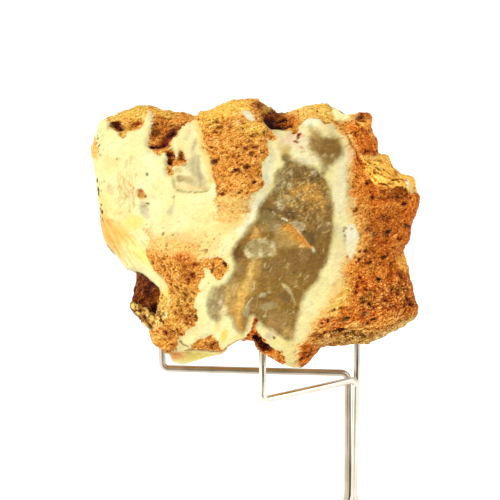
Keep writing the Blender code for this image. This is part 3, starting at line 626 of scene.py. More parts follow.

# Fine lines: veins, cracks, ridges and edges of chips. Among them are a painted shadow edge, the dark
# line along the top of the shade under the ledge, and a painted highlight, the broad pale line on the
# right tip.
LINES = strokes("""
221 197 144 .7: .8 317 229.5 318 226.5 321.5 224, .8 243 311 244 316, .8 283.5 258.5 282 261,
.7 230.5 294 229.5 297, .7 222.5 294 221 299, .7 288 309 286.5 312.5, .7 295.5 304 296.5 302;
221 197 144 .8: .8 288.5 221.5 290.5 222.5, .9 291 223 296.5 221 302 222.5 304.5 225.5 301.5 229.5,
.8 297.5 281 296 287, .8 265.5 262 264.5 268, .8 235.5 283.5 232 290, .8 238.5 285 236 289.5;
239 166 89 .7: 1.1 292.5 226 297 230.5 302 235.5 307 242 311 247.5, .8 95.5 140 94 146,
.8 93.5 149 94.5 154, .9 147 230 150 237.5 155 243.5 158.5 248;
164 94 43 .8: 1.1 247 338 239 341 229 346.4 222 351.6, 1 186 351 196 350.6 205 350 213 351.4 221 351.4;
221 197 144 .9: .9 278.5 215 281 216, .8 308.5 275.5 305 279.5;
221 197 144 .6: 1 326 222.5 329.5 223 331 225.5, .8 329.5 230.5 326.5 232.5 321 233;
200 174 109 .7: .8 304.5 289.5 303.5 292, .8 326 256 324 262;
200 174 109 .6: .9 131.5 156 130.5 160 130 164, .9 126.5 160 126 164 125 168;
140 121 72 .7: .8 178 190.6 184 192.2 190 192.4 197 192.2 204 191.4 209 190;
91 60 39 .9: .9 340 110.8 343 113 347 114.6; 140 121 72 .6: .8 334 107.6 336 108.4;
213 135 58 .7: .8 194 127.6 197 131 199.4 135.6;
70 24 9 .7: 1 136.6 273 144 277 152 283 158 288.5 161.4 295;
164 94 43 .5: 1.2 322 339 332 335.4 344 336 354 338; 200 112 41 .5: 1 372 338 386 332.6 398 326;
170 72 19 .8: 1.1 337 120.6 340 126.6 346 131.8 349 138.4 351.6 145 355.4 150;
256 216 127 .8: 4.4 195 122 199.5 130 200.5 141 205 156 209 170 211 181,
1.3 349.5 131.5 350.5 137.5 354 144 358 149.5, .8 234 291.5 232.5 297;
170 72 19 .9: 1.2 356 151 358.4 157.6 360.4 163 362 168;
143 66 21 .9: 1.2 378 184 384 184.4 388 185 392 182 395 179.6 401 179 408 180 409.6 182;
249 241 199 .9: 4 407 180 411 185 413 191, .9 272.5 211 274.5 212.5 275.5 213, 1 312.5 246.5 314 249;
256 216 127 .6: 2.4 413 318 401 326.5 387 333.5 376 338;
181 95 36 .8: 1.2 392 181 396 179.4 401 178.8 406 179.6; 200 112 41 .6: 1 390 160 393.4 168 397 173,
1 366 170 371 176 377 181, 1 384 176 390 178 394 178.6; 150 83 31 .6: .9 152 118.6 162 118.4 176 118.8,
.9 383 169.6 386 171 390 173.4; 200 112 41 .7: 1 366 162 368 164.4 370 166;
249 241 199 1: 1.7 282.5 218 285 219 287 220.5; 249 241 199 .6: 1 297.5 229.5 300 232.5;
113 93 51 .6: .9 262 208 267 208.4 271 210; 221 197 144 1: .9 253 297.5 249 302 245.5 307.5;
200 174 109 .8: .8 301.5 252 300 255.5; 213 135 58 .8: 1.1 145.4 251 148 258 151.4 265 157 272 163 279;
249 241 199 .8: 2.2 151 115 151 120 152 127; 256 216 127 .7: 1 163 281 167 288 169.5 296 169 304,
2 402 188 408 189 413 192; 147 95 56 .7: .9 180.4 341.4 184 345 188 347 190 350;
131 74 31 .7: .9 189.6 350.8 200 351 212 352; 239 166 89 .6: 1.2 330 326 340 323.5 352 322 362 326,
1 374 188 380 190 388 188 395 184; 143 66 21 .8: 1 381 192.6 389 190.4 397 188.8 404 189.6 410 193;
213 135 58 .6: .8 112 240 116 248 120 256, 1 165 353 176 354 190 353, 1 364 158 373 159 382 161 388 160,
.8 128 183 132 186 135 188.6; 188 149 90 .6: .6 117 242 120 251, 1 372 165.5 380 168 388 168,
.8 122 176 124 183 125.5 190, .7 120 188 125 194 128.5 198, .7 133 190 133.5 198 132.5 206;
213 135 58 .6: 1 370 160 374 163 378 165.6, 1 380 161 384 164 389 166;
256 216 127 .7: 1.6 362 156 370 157.5 378 155 387 153.5;
124 61 22 .8: 1.2 376.6 167.6 379 169.4 381 169.8; 124 61 22 .7: 1.1 374.6 170 377.6 173 381 174.6;
188 149 90 .5: .7 126 188 129 192 130 198; 239 166 89 .6: .9 119 250 116 240;
147 95 56 .7: .9 104.6 243.4 108.4 247 113.6 253.4
""")


def step(low, high, value):
    part = np.clip((value - low) / (high - low), 0.0, 1.0)
    return part * part * (3.0 - 2.0 * part)


def soft_min(first, second, width):
    share = np.clip(0.5 + 0.5 * (second - first) / width, 0.0, 1.0)
    return second * (1.0 - share) + first * share - width * share * (1.0 - share)


def lattice(points, size, seed, octaves=1):
    """Smooth random field, mostly between -1 and 1, read at every point."""
    total = np.zeros(len(points))
    weight = 1.0
    reach = 0.0
    for octave in range(octaves):
        drawn = np.random.default_rng(seed + 17 * octave).random((32, 32, 32))
        place = points / size + 100.0 + 7.3 * octave
        base = np.floor(place).astype(int)
        part = place - base
        part = part * part * (3.0 - 2.0 * part)
        value = np.zeros(len(points))
        for dx in (0, 1):
            share_x = part[:, 0] if dx else 1.0 - part[:, 0]
            for dy in (0, 1):
                share_y = part[:, 1] if dy else 1.0 - part[:, 1]
                for dz in (0, 1):
                    share_z = part[:, 2] if dz else 1.0 - part[:, 2]
                    corner = drawn[
                        (base[:, 0] + dx) % 32, (base[:, 1] + dy) % 32, (base[:, 2] + dz) % 32
                    ]
                    value += corner * share_x * share_y * share_z
        total += weight * (2.0 * value - 1.0)
        reach += weight
        weight *= 0.6
        size /= 2.07
    return np.clip(1.9 * total / reach, -1.0, 1.0)


def cells(points, size, seed):
    """Distance to the nearest of scattered centres, in cells, and that centre's number."""
    rng = np.random.default_rng(seed)
    offset = rng.random((16, 16, 16, 3))
    label = rng.random((16, 16, 16))
    place = points / size + 64.0
    base = np.floor(place).astype(int)
    best = np.full(len(points), 9.0)
    mark = np.zeros(len(points))
    for dx in (-1, 0, 1):
        for dy in (-1, 0, 1):
            for dz in (-1, 0, 1):
                cell = base + np.array([dx, dy, dz])
                key = cell % 16
                spot = cell + offset[key[:, 0], key[:, 1], key[:, 2]]
                gap = np.linalg.norm(place - spot, axis=1)
                nearer = gap < best
                best = np.where(nearer, gap, best)
                mark = np.where(nearer, label[key[:, 0], key[:, 1], key[:, 2]], mark)
    return best, mark


def line_distance(line, u, v):
    best = np.full(u.shape, 1e9)
    for (au, av), (bu, bv) in zip(line[:-1], line[1:]):
        eu = bu - au
        ev = bv - av
        along = np.clip(((u - au) * eu + (v - av) * ev) / (eu * eu + ev * ev), 0.0, 1.0)
        best = np.minimum(best, np.hypot(u - au - along * eu, v - av - along * ev))
    return best


def edge_distance(outline, u, v):
    """Distance to a closed outline, positive inside it."""
    closed = outline + outline[:1]
    inside = np.zeros(u.shape, dtype=bool)
    for (au, av), (bu, bv) in zip(closed[:-1], closed[1:]):
        if av != bv:
            crosses = (av > v) != (bv > v)
            inside ^= crosses & (u < au + (v - av) * (bu - au) / (bv - av))
    best = line_distance(closed, u, v)
    return np.where(inside, best, -best)


def flat(outline):
    """Picture units to millimetres across the face, from the stone's centre."""
    return [((u - MIDDLE_U) * SCALE, (MIDDLE_V - v) * SCALE) for u, v in outline]


RIM = np.array(flat(OUTLINE))
RIM = RIM[np.argsort(np.arctan2(RIM[:, 1], RIM[:, 0]))]
RIM_ANGLES = np.arctan2(RIM[:, 1], RIM[:, 0])


def outline_radius(angles):
    index = np.searchsorted(RIM_ANGLES, angles) % len(RIM)
    first = RIM[index - 1]
    edge = RIM[index] - first
    along = np.column_stack((np.cos(angles), np.sin(angles)))
    top = first[:, 0] * edge[:, 1] - first[:, 1] * edge[:, 0]
    bottom = along[:, 0] * edge[:, 1] - along[:, 1] * edge[:, 0]
    return top / bottom


def smooth_radius(angles):
    total = np.zeros_like(angles)
    for turn in range(-12, 13, 2):
        turned = angles + math.radians(turn)
        total += outline_radius(np.arctan2(np.sin(turned), np.cos(turned)))
    return total / 13.0


def rough(points, size, octaves, shift):
    values = np.empty(len(points))
    for index, point in enumerate(points):
        place = Vector(point) / size + Vector((shift, 0.0, 0.0))
        values[index] = noise.fractal(place, 0.9, 2.1, octaves)
    return values


def sphere_grid(count):
    """Directions and faces of a sphere made from the six sides of a cube."""
    ticks = np.tan(np.linspace(-math.pi / 4, math.pi / 4, count + 1))
    s, t = np.meshgrid(ticks, ticks, indexing="ij")
    one = np.ones_like(s)
    sides = [(s, -one, t), (-s, one, t), (one, s, t), (-one, -s, t), (s, t, one), (s, -t, -one)]
    points = []
    faces = []
    for number, side in enumerate(sides):
        points.append(np.stack(side, axis=-1).reshape(-1, 3))
        first = np.arange((count + 1) ** 2).reshape(count + 1, count + 1)[:count, :count].ravel()
        first = first + number * (count + 1) ** 2
        faces.append(
            np.column_stack((first, first + count + 1, first + count + 2, first + 1))
        )
    points = np.concatenate(points)
    faces = np.concatenate(faces)
    keys = np.round(points * 1e5).astype(np.int64)
    _, index, inverse = np.unique(keys, axis=0, return_index=True, return_inverse=True)
    points = points[index]
    faces = inverse.ravel()[faces]
    return points / np.linalg.norm(points, axis=1)[:, None], faces


def crowd_forward(directions, strength):
    """Crowd the directions towards the face, where the detail is."""
    front = -directions[:, 1]
    warped = (front + strength) / (1.0 + strength * front)
    side = np.sqrt(np.maximum(1.0 - warped ** 2, 0.0))
    ratio = side / np.maximum(np.hypot(directions[:, 0], directions[:, 2]), 1e-9)
    return np.column_stack((directions[:, 0] * ratio, -warped, directions[:, 2] * ratio))


def stone_shape(directions):
    """Carry directions of a sphere onto the stone, as its solid does."""
    side = np.hypot(directions[:, 0], directions[:, 2])
    angles = np.arctan2(directions[:, 2], directions[:, 0])
    front = directions[:, 1] < 0.0
    turn = np.degrees(angles)
    fuller = 0.7 * np.exp(-((turn + 112.0) / 48.0) ** 2)
    power = np.where(front, FRONT_POWER, BACK_POWER + fuller)
    depth = np.abs(directions[:, 1])
    scale = (depth ** power + side ** power) ** (-1.0 / power)
    share = np.minimum(side * scale, 1.0)
    sharp = outline_radius(angles)
    smooth = smooth_radius(angles)
    rise = np.clip(depth * scale, 0.0, 1.0)

    fade = step(0.02, 0.6, rise)
    behind = (sharp * (1.0 - fade) + 0.95 * smooth * fade) * share
    behind = soft_min(behind, sharp * (0.998 - 0.05 * fade), 2.0 * fade + 0.01)
    reach = np.where(front, sharp * share, behind)
    x = reach * np.cos(angles)
    z = reach * np.sin(angles)

    inner = np.clip(reach / smooth, 0.0, 1.0)
    blend = step(0.55, 0.97, share)
    mixed = inner * (1.0 - blend) + share * blend
    dome = np.maximum(1.0 - mixed ** FRONT_POWER, 0.0) ** (1.0 / FRONT_POWER)

    edge = 6.0 * np.exp(-((turn + 88.0) / 34.0) ** 2)
    edge -= 3.0 * np.exp(-((turn - 15.0) / 30.0) ** 2)
    edge += 2.6 * np.sin(3.0 * angles + 0.7) + 1.4 * np.sin(7.0 * angles)
    rim = edge * share ** 4

    height = dome * FRONT_BULGE + rim
    for level, px, pz, slope_x, slope_z in FRONT_FACES:
        plane = level + slope_x * (x - px) + slope_z * (z - pz)
        height = soft_min(height, plane, 3.0)
    rear = rise * BACK_BULGE
    for level, px, pz, slope_x, slope_z in BACK_FACES:
        plane = level + slope_x * (x - px) + slope_z * (z - pz)
        rear = soft_min(rear, plane, 4.0)
    y = np.where(front, -height, rear - rim)

    for outline, raise_by, width in RELIEF:
        distance = edge_distance(flat(outline), x, z)
        weight = step(-0.5 * width, 0.5 * width, distance)
        y = y - raise_by * weight * np.exp(-np.maximum(y, 0.0) / 12.0)

    # Step where a flake left the core: sharp along its upper edge, fading away from it
    distance = edge_distance(flat(CORE_FLAKE), x, z)
    away = line_distance(flat(FLAKE_EDGE), x, z)
    ends = line_distance(flat(CORE_FLAKE[3:] + CORE_FLAKE[:1]), x, z)
    y = y + step(-0.3, 0.5, distance) * (1.0 - step(0.0, 11.0, away)) * step(0.0, 4.0, ends)

    crust = 1.0 - 0.75 * step(-2.0, 3.0, edge_distance(flat(SMOOTH_FACE), x, z))
    crust = np.where(front, crust, 1.0)
    points = np.column_stack((x, y, z))
    bumps = 1.3 * rough(points, 14.0, 2, 3.0) + 0.8 * rough(points, 5.0, 2, 9.0)
    knobs = 3.4 * rough(points, 24.0, 2, 20.0) - 0.8
    behind = step(0.0, 0.35, rise) * np.where(front, 0.0, 1.0)
    inward = 1.0 - 0.85 * step(0.9, 1.0, share)
    amount = bumps * crust * inward * (1.0 - behind)
    amount += (bumps + knobs - 1.2 * step(0.9, 1.0, share)) * behind
    points = points + directions * amount[:, None]

    wider = 1.0 + points[:, 1] / DISTANCE
    points[:, 0] = (points[:, 0] - AIM_X) * wider + AIM_X
    points[:, 2] = (points[:, 2] - AIM_Z) * wider + AIM_Z
    return points, np.where(front, 0.0, rise)


def normals_of(points, faces):
    across = points[faces[:, 2]] - points[faces[:, 0]]
    along = points[faces[:, 3]] - points[faces[:, 1]]
    flats = np.cross(across, along)
    total = np.zeros_like(points)
    for corner in range(4):
        np.add.at(total, faces[:, corner], flats)
    return total / np.maximum(np.linalg.norm(total, axis=1), 1e-12)[:, None]


class Painter:
    """Lays colour and relief on the points from drawn outlines."""

    def __init__(self, points, behind, forward):
        border = behind + 0.3 * lattice(points, 9.0, 15, 2) * step(0.0, 0.12, behind)
        self.back = step(0.03, 0.36, border)
        self.facing = 1.0 - self.back
        self.close = (1.0 - step(0.0, 0.12, behind)) * step(0.02, 0.16, forward)
        spread = FOCAL_PX / (DISTANCE + points[:, 1])
        self.u = PICTURE / 2 + (points[:, 0] - AIM_X) * spread
        self.v = PICTURE / 2 - (points[:, 2] - AIM_Z) * spread
        self.shift_u = 0.7 * lattice(points, 2.6, 11, 2) + 0.5 * lattice(points, 0.9, 12)
        self.shift_v = 0.7 * lattice(points, 2.6, 13, 2) + 0.5 * lattice(points, 0.9, 14)

        # Behind the rim the outlines stray, or they would run straight back along the sides
        stray = 60.0 * step(-0.02, 0.3, behind)
        self.u += stray * lattice(points, 8.0, 16, 2)
        self.v += stray * lattice(points, 8.0, 17, 2)

    def near(self, spots, pad):
        low_u, low_v = np.min(spots, axis=0) - pad
        high_u, high_v = np.max(spots, axis=0) + pad
        inside = (self.u > low_u) & (self.u < high_u) & (self.v > low_v) & (self.v < high_v)
        return np.nonzero(inside & (self.facing > 0.0))[0]

    def fill(self, pick, share, small=False):
        whole = np.zeros(len(self.u))
        whole[pick] = share * (self.close if small else self.facing)[pick]
        return whole

    def moved(self, pick, ragged):
        return (self.u[pick] + ragged * self.shift_u[pick],
                self.v[pick] + ragged * self.shift_v[pick])

    def area(self, outline, soft, ragged, grow=0.0):
        pick = self.near(np.array(outline), soft + 2.0 * ragged + abs(grow) + 1.0)
        u, v = self.moved(pick, ragged)
        return self.fill(pick, step(-soft, soft, edge_distance(outline, u, v) + grow))

    def dab(self, u, v, half_u, half_v, turn, ragged=0.0):
        reach = 1.5 * max(half_u, half_v) + 2.0 * ragged + 1.0
        pick = self.near(np.array([(u, v)]), reach)
        there_u, there_v = self.moved(pick, ragged)
        du = there_u - u
        dv = there_v - v
        cos = math.cos(math.radians(turn))
        sin = math.sin(math.radians(turn))
        far = np.hypot((du * cos + dv * sin) / half_u, (dv * cos - du * sin) / half_v)
        return self.fill(pick, 1.0 - step(0.45, 1.35, far), min(half_u, half_v) < 14.0)

    def line(self, line, width, ragged=0.0):
        pick = self.near(np.array(line), width + ragged + 1.5)
        u, v = self.moved(pick, ragged)
        away = line_distance(line, u, v)
        return self.fill(pick, 1.0 - step(0.5 * width - 0.5, 0.5 * width + 0.7, away), True)


def drawn_out(points, angle):
    """Points turned about the line of sight and squeezed, so that a field runs in strokes."""
    cos = math.cos(math.radians(angle))
    sin = math.sin(math.radians(angle))
    along = SQUEEZE * (points[:, 0] * cos + points[:, 2] * sin)
    return np.column_stack((along, points[:, 1], points[:, 2] * cos - points[:, 0] * sin))


def tint(colour, share, wanted):
    colour += (np.array(wanted, dtype=float) - colour) * share[:, None]


def lay(brush, colour, rows, ragged):
    for *spot, wanted, share in rows:
        tint(colour, brush.dab(*spot, ragged) * share, wanted)


def plain(count, colour):
    return np.tile(np.array(colour, dtype=float), (count, 1))


def paint_core(brush, points):
    """The glassy core: its share of the surface, its colour and where it is granular."""
    fine = lattice(points, 1.15, 31, 2)
    core = np.maximum(brush.area(CORE_MAIN, 3.8, 1.2), brush.area(CORE_LOBE, 4.2, 1.4, 0.8))
    glass = plain(len(points), (150, 112, 48))
    smoke = lattice(points, 4.0, 53, 3)
    granular = brush.dab(302, 196, 30, 36, -8, 2.0)
    for soft, ragged, wanted, share, outline in CORE_AREAS:
        tint(glass, brush.area(outline, soft, ragged) * share, wanted)
    lay(brush, glass, CORE_DABS, 1.4)
    patch = brush.area(PALE_PATCH, 1.6, 2.6)
    streaks = lattice(points, 1.5, 54)
    tint(glass, patch * 0.85, (212, 194, 132))
    tint(glass, patch * step(0.0, 0.6, streaks) * 0.6, (184, 160, 96))
    tint(glass, patch * step(0.1, 0.7, -streaks) * 0.6, (236, 226, 174))
    away = line_distance(FACET_EDGE, brush.u, brush.v)
    facet = brush.area(ORANGE_FACET, 0.7, 0.3) * step(251.0, 243.0, brush.v)
    tint(glass, facet * 0.6, (188, 150, 86))
    tint(glass, facet * (1.0 - step(2.0, 22.0, away)) * 0.95, (216, 162, 72))
    # The narrow band along the facet's upper edge is a painted highlight.
    tint(glass, facet * (1.0 - step(0.5, 11.0, away)) * 0.85, (228, 146, 44))
    lay(brush, glass, FACET_DABS, 0.4)
    tint(glass, step(0.05, 0.8, smoke) * 0.24, (192, 158, 92))
    tint(glass, step(0.05, 0.8, -smoke) * 0.26, (112, 80, 34))
    glass *= (1.0 + (0.05 + 0.1 * granular) * fine)[:, None]
    tint(glass, granular * step(0.4, 0.8, lattice(points, 0.8, 51, 2)) * 0.6, (236, 206, 134))
    tint(glass, granular * step(0.35, 0.8, lattice(points, 1.1, 52, 2)) * 0.4, (98, 70, 26))
    tint(glass, 0.6 * (1.0 - step(0.4, 1.0, core)), (180, 166, 118))
    return core, glass, granular


class Grain:
    """Random fields that colour and relief share, so that the colour is lighter where the relief stands
    up and darker where it is sunk: painted light and shade.
    """

    def __init__(self, points, falling):
        rising = drawn_out(points, RISING)
        self.fine = lattice(rising, 1.0, 31, 2)
        self.fine += (lattice(drawn_out(points, FALLING), 1.0, 32, 2) - self.fine) * falling
        self.middle = lattice(points, 3.0, 33, 2)
        self.broad = lattice(points, 9.0, 35, 2)
        huge = lattice(points, 26.0, 37, 2)
        self.bare = step(0.34, 0.7, 0.6 * huge + 0.6 * self.broad + 0.35 * self.middle)
        self.lump, _ = cells(points, 1.5, 41)
        hole, hole_mark = cells(rising, 2.9, 43)
        pin, pin_mark = cells(rising, 1.4, 47)
        self.pit = step(0.3, 0.14, hole + 0.1 * self.fine) * step(0.66, 0.74, hole_mark)
        self.pinhole = step(0.3, 0.14, pin) * step(0.5, 0.6, pin_mark)
        self.freckle = step(0.3, 0.16, pin) * step(0.78, 0.86, pin_mark)


def spread_crust(brush, grain):
    """The crust's share of the surface, where it is calm, and its light, ground and dark."""
    count = len(brush.u)
    crust = np.zeros(count)
    calm = np.zeros(count)
    palette = [plain(count, tone) for tone in PALETTES["orange"]]

    def lean(share, name):
        calm[:] = np.maximum(calm, share) if name == "peach" else calm * (1.0 - share)
        for tone, other in zip(palette, PALETTES[name]):
            tint(tone, share, other)

    # Behind, where nothing is known, crust with a few windows of bare skin
    lean(0.7 * step(0.0, 0.7, grain.broad) * brush.back, "red")
    lean(0.6 * step(0.1, 0.8, -grain.broad) * brush.back, "yellow")
    lean(step(0.0, 0.3, grain.bare) * brush.back, "peach")
    for outline, name, grow, soft, ragged in CRUSTS:
        share = brush.area(outline, soft, ragged, grow)
        crust = np.maximum(crust, share)
        lean(share, name)
    for *spot, name, share in CRUST_PATCHES:
        lean(brush.dab(*spot, 2.0) * share, name)
    crust += brush.back * (1.0 - 0.95 * grain.bare)
    return crust, calm, palette


def paint_skin(brush, points, grain):
    """The smooth skin and the flake scar in it."""
    skin = plain(len(points), (249, 236, 156))
    tint(skin, 0.55 * step(0.0, 0.8, grain.broad), (252, 245, 182))
    tint(skin, 0.6 * step(0.05, 0.85, -grain.broad), (249, 228, 132))
    tint(skin, 0.3 * step(0.2, 0.9, grain.middle), (246, 226, 160))
    tint(skin, 0.6 * brush.back, (244, 224, 160))
    tint(skin, 0.7 * brush.back * step(0.0, 0.8, grain.middle - 0.5 * grain.fine), (234, 184, 104))
    tint(skin, 0.12 + 0.3 * step(0.1, 0.8, lattice(points, 5.0, 57, 3)), (255, 252, 214))
    tint(skin, 0.35 * step(0.2, 0.9, lattice(points, 4.0, 58, 3)), (246, 228, 150))
    lay(brush, skin, SKIN_DABS, 0.8)
    inside = plain(len(points), (252, 242, 178))
    lay(brush, inside, SCAR_DABS, 1.0)
    tint(inside, np.full(len(points), 0.18), (246, 206, 128))
    skin += (inside - skin) * brush.area(SCAR, 0.7, 0.5)[:, None]
    skin *= (0.98 + 0.016 * grain.middle + 0.028 * grain.fine)[:, None]
    tint(skin, 0.3 * grain.freckle, (200, 160, 90))
    speck, speck_mark = cells(points, 0.9, 63)
    for spot in SPECKED_EDGES:
        edge = brush.dab(*spot, 0.0, 1.0) * step(0.42, 0.28, speck)
        tint(skin, edge * step(0.25, 0.35, speck_mark), (84, 60, 26))
    return skin


def paint_crust(brush, points, grain, crust, calm, palette):
    """The crust's colour: its grain, painted lighter where the relief stands up and darker where it is
    sunk, as painted light and shade.
    """
    coarse = np.maximum(brush.dab(388, 300, 34, 26, -20, 2.0), brush.dab(355, 336, 52, 13, -4, 2.0))
    grain_and_shade_strength = 1.0 + 0.5 * coarse - 0.5 * calm
    fine, middle = grain.fine, grain.middle
    tone = np.clip(0.34 * grain_and_shade_strength * fine + 0.1 * middle + 0.09 * grain.broad - 0.02, -1.0, 1.0)
    light, over, dark = palette
    over += (light - over) * np.clip(tone, 0.0, 1.0)[:, None]
    over += (dark - over) * np.clip(-tone, 0.0, 1.0)[:, None]
    # Pits and pinholes are painted dark where the relief sinks them: painted shade in them.
    over += (0.7 * dark - over) * (0.75 * grain.pit * (1.0 - calm))[:, None]
    over += (0.85 * dark - over) * (0.4 * grain.pinhole * grain_and_shade_strength * crust ** 2)[:, None]
    # Crumbs: pale nuggets with dark between them, painted shade between the nuggets.
    crumb = brush.area(CRUMB, 1.0, 1.6)
    lump, lump_mark = cells(points, 1.7, 61)
    tint(over, crumb * step(0.66, 0.4, lump) * step(0.2, 0.3, lump_mark), (262, 226, 122))
    tint(over, crumb * step(0.54, 0.74, lump + 0.25 * fine), (112, 54, 20))
    # In the cavity and the top hollow the low spots are painted near black and the high ones lighter:
    # painted shade and light on their relief.
    cavity = np.maximum(brush.area(CAVITY, 1.0, 0.8), brush.area(TOP_HOLLOW, 1.0, 0.8))
    tint(over, cavity * step(0.35, 0.85, fine + 0.5 * middle) * 0.65, (204, 124, 62))
    tint(over, cavity * step(0.4, 0.9, -fine - 0.4 * middle) * 0.7, (38, 12, 6))
    return over, grain_and_shade_strength


def add_marks(brush, under, over, crust):
    for *spot, wanted, share in MARKS:
        if sum(wanted) > PALE and share > 0.85:
            crust *= 1.0 - 0.9 * brush.dab(*spot, 0.6)
    for colour in (under, over):
        lay(brush, colour, MARKS, 0.6)
        for line, width, wanted, share in LINES:
            tint(colour, brush.line(line, width, 0.4) * share, wanted)


def scatter_marks(brush, under, over, core):
    """Scratches, flecks and streaks that are too many to place by hand."""
    draw = np.random.default_rng(5)
    skin = 1.0 - core

    # Pale scratches across the core
    for _ in range(120):
        u = draw.uniform(208, 330)
        v = draw.uniform(165, 335)
        slant = math.radians(draw.normal(62, 16))
        half = draw.uniform(0.8, 3.0)
        du = half * math.cos(slant)
        dv = half * math.sin(slant)
        share = brush.line([(u - du, v + dv), (u + du, v - dv)], draw.uniform(0.4, 0.9))
        tint(under, share * core * draw.uniform(0.35, 0.85), (230, 206, 152))

    # Dark strokes in the crust at the lower left
    for _ in range(50):
        v = draw.uniform(286, 336)
        u = 158 + 0.42 * (v - 246) + draw.normal(0, 11)
        half = draw.uniform(0.6, 2.4)
        ends = [(u - half, v - 1.2 * half), (u + half, v + 1.2 * half)]
        share = brush.line(ends, draw.uniform(0.3, 1.2), 0.5)
        tint(over, share * draw.uniform(0.3, 0.85), (112, 56, 22))

    # Flecks on the skin, then grains strewn over it above that crust
    for _ in range(50):
        u = draw.uniform(105, 250)
        v = draw.uniform(140, 250)
        share = brush.dab(u, v, draw.uniform(0.4, 0.9), draw.uniform(0.4, 1.2), 20, 0.4)
        tint(under, share * 0.4 * skin, (200, 150, 70))
    for _ in range(150):
        v = 266.0 - abs(draw.normal(0, 17))
        u = draw.uniform(148 + 0.3 * (266 - v), 224)
        share = brush.dab(u, v, draw.uniform(0.5, 1.3), draw.uniform(0.4, 0.9), -25, 0.6)
        tint(under, share * draw.uniform(0.3, 0.8) * skin, (196, 118, 54))

    # Orange and yellow streaks down the left flank, then fine cracks on the face
    for _ in range(70):
        v = draw.uniform(212, 262)
        u = 103 + 0.35 * (v - 215) + abs(draw.normal(0, 11))
        half = draw.uniform(2, 6)
        du = 0.62 * half + draw.normal(0, 0.6)
        share = brush.line([(u - du, v - half), (u + du, v + half)], draw.uniform(0.3, 1.6), 0.6)
        shade = draw.uniform(0, 1)
        tint(under, share * 0.5, (238 + 14 * shade, 156 + 84 * shade, 66 + 84 * shade))
    for _ in range(34):
        u = draw.uniform(117, 137)
        v = draw.uniform(172, 210)
        half = draw.uniform(1.5, 4.5)
        side = draw.normal(0, 0.9)
        share = brush.line([(u, v - half), (u + side, v), (u - side, v + half)], 0.3, 0.8)
        tint(under, share * 0.6, (206, 146, 62))


def fine_relief(brush, grain, crust, core, granular, leaf):
    """Height of the fine relief in millimetres."""
    fine, middle = grain.fine, grain.middle
    skin = (1.0 - crust) * (1.0 - core)
    relief = crust * (0.3 * middle + 0.34 * fine + 0.2 * (0.5 - grain.lump) - 0.8 * grain.pit)
    relief += crust * (0.6 * grain.broad - 0.3 * grain.pinhole)
    relief += skin * ((0.08 + 0.3 * brush.back) * middle + 0.025 * fine - 0.25 * grain.freckle)
    relief += core * (0.03 * middle + 0.2 * granular * fine)
    relief += 0.5 * leaf
    for *spot, wanted, share in MARKS:
        if sum(wanted) < DARK and share > 0.6:
            relief -= 0.6 * brush.dab(*spot, 0.6) * crust
    for line, width, wanted, _ in LINES:
        if sum(wanted) < DARK:
            relief -= 0.3 * min(width, 2.0) * brush.line(line, width, 0.4)
    for outline, name, _, _, ragged in CRUSTS:
        if name in ("dark", "brown"):
            relief -= 0.6 * brush.area(outline, 2.0, ragged)
    return relief


def paint_stone(points, behind, forward):
    """Everything the surface needs: both colours, their mixture, gloss and fine relief."""
    brush = Painter(points, behind, forward)
    falling = np.maximum(brush.dab(386, 172, 34, 30, 0), brush.dab(168, 268, 26, 34, -30))
    grain = Grain(points, falling)
    crust, calm, palette = spread_crust(brush, grain)
    skin = paint_skin(brush, points, grain)
    core, glass, granular = paint_core(brush, points)
    under = skin + (glass - skin) * core[:, None]
    over, grain_and_shade_strength = paint_crust(brush, points, grain, crust, calm, palette)

    # The leaf-shaped chip at the right, and the bare crest above it
    leaf = brush.area(LEAF, 0.7, 0.4)
    ribs = 0.5 + 0.5 * np.sin(1.1 * brush.u + 0.5 * brush.v + 2.0 * grain.middle)
    crust *= (1.0 - leaf) * (1.0 - brush.area(CREST, 1.4, 1.4))
    tint(under, leaf, (252, 247, 212))
    # The leaf's lower part is painted a darker cream, painted shade.
    tint(under, leaf * step(232.0, 246.0, brush.v) * 0.8, (244, 231, 176))
    tint(under, leaf * ribs * 0.3, (232, 214, 172))

    add_marks(brush, under, over, crust)
    scatter_marks(brush, under, over, core)
    relief = fine_relief(brush, grain, crust, core, granular, leaf)
    glassy = core * (1.0 - crust)
    gloss = np.clip(0.54 + 0.34 * crust - 0.26 * glassy + 0.1 * granular, 0.1, 0.95)
    rubble = np.maximum(crust * grain_and_shade_strength, 0.2 + (0.36 + 0.4 * granular) * glassy)
    layers = {"crust": crust, "gloss": gloss, "rubble": rubble, "falling": falling}
    return under, over, layers, relief


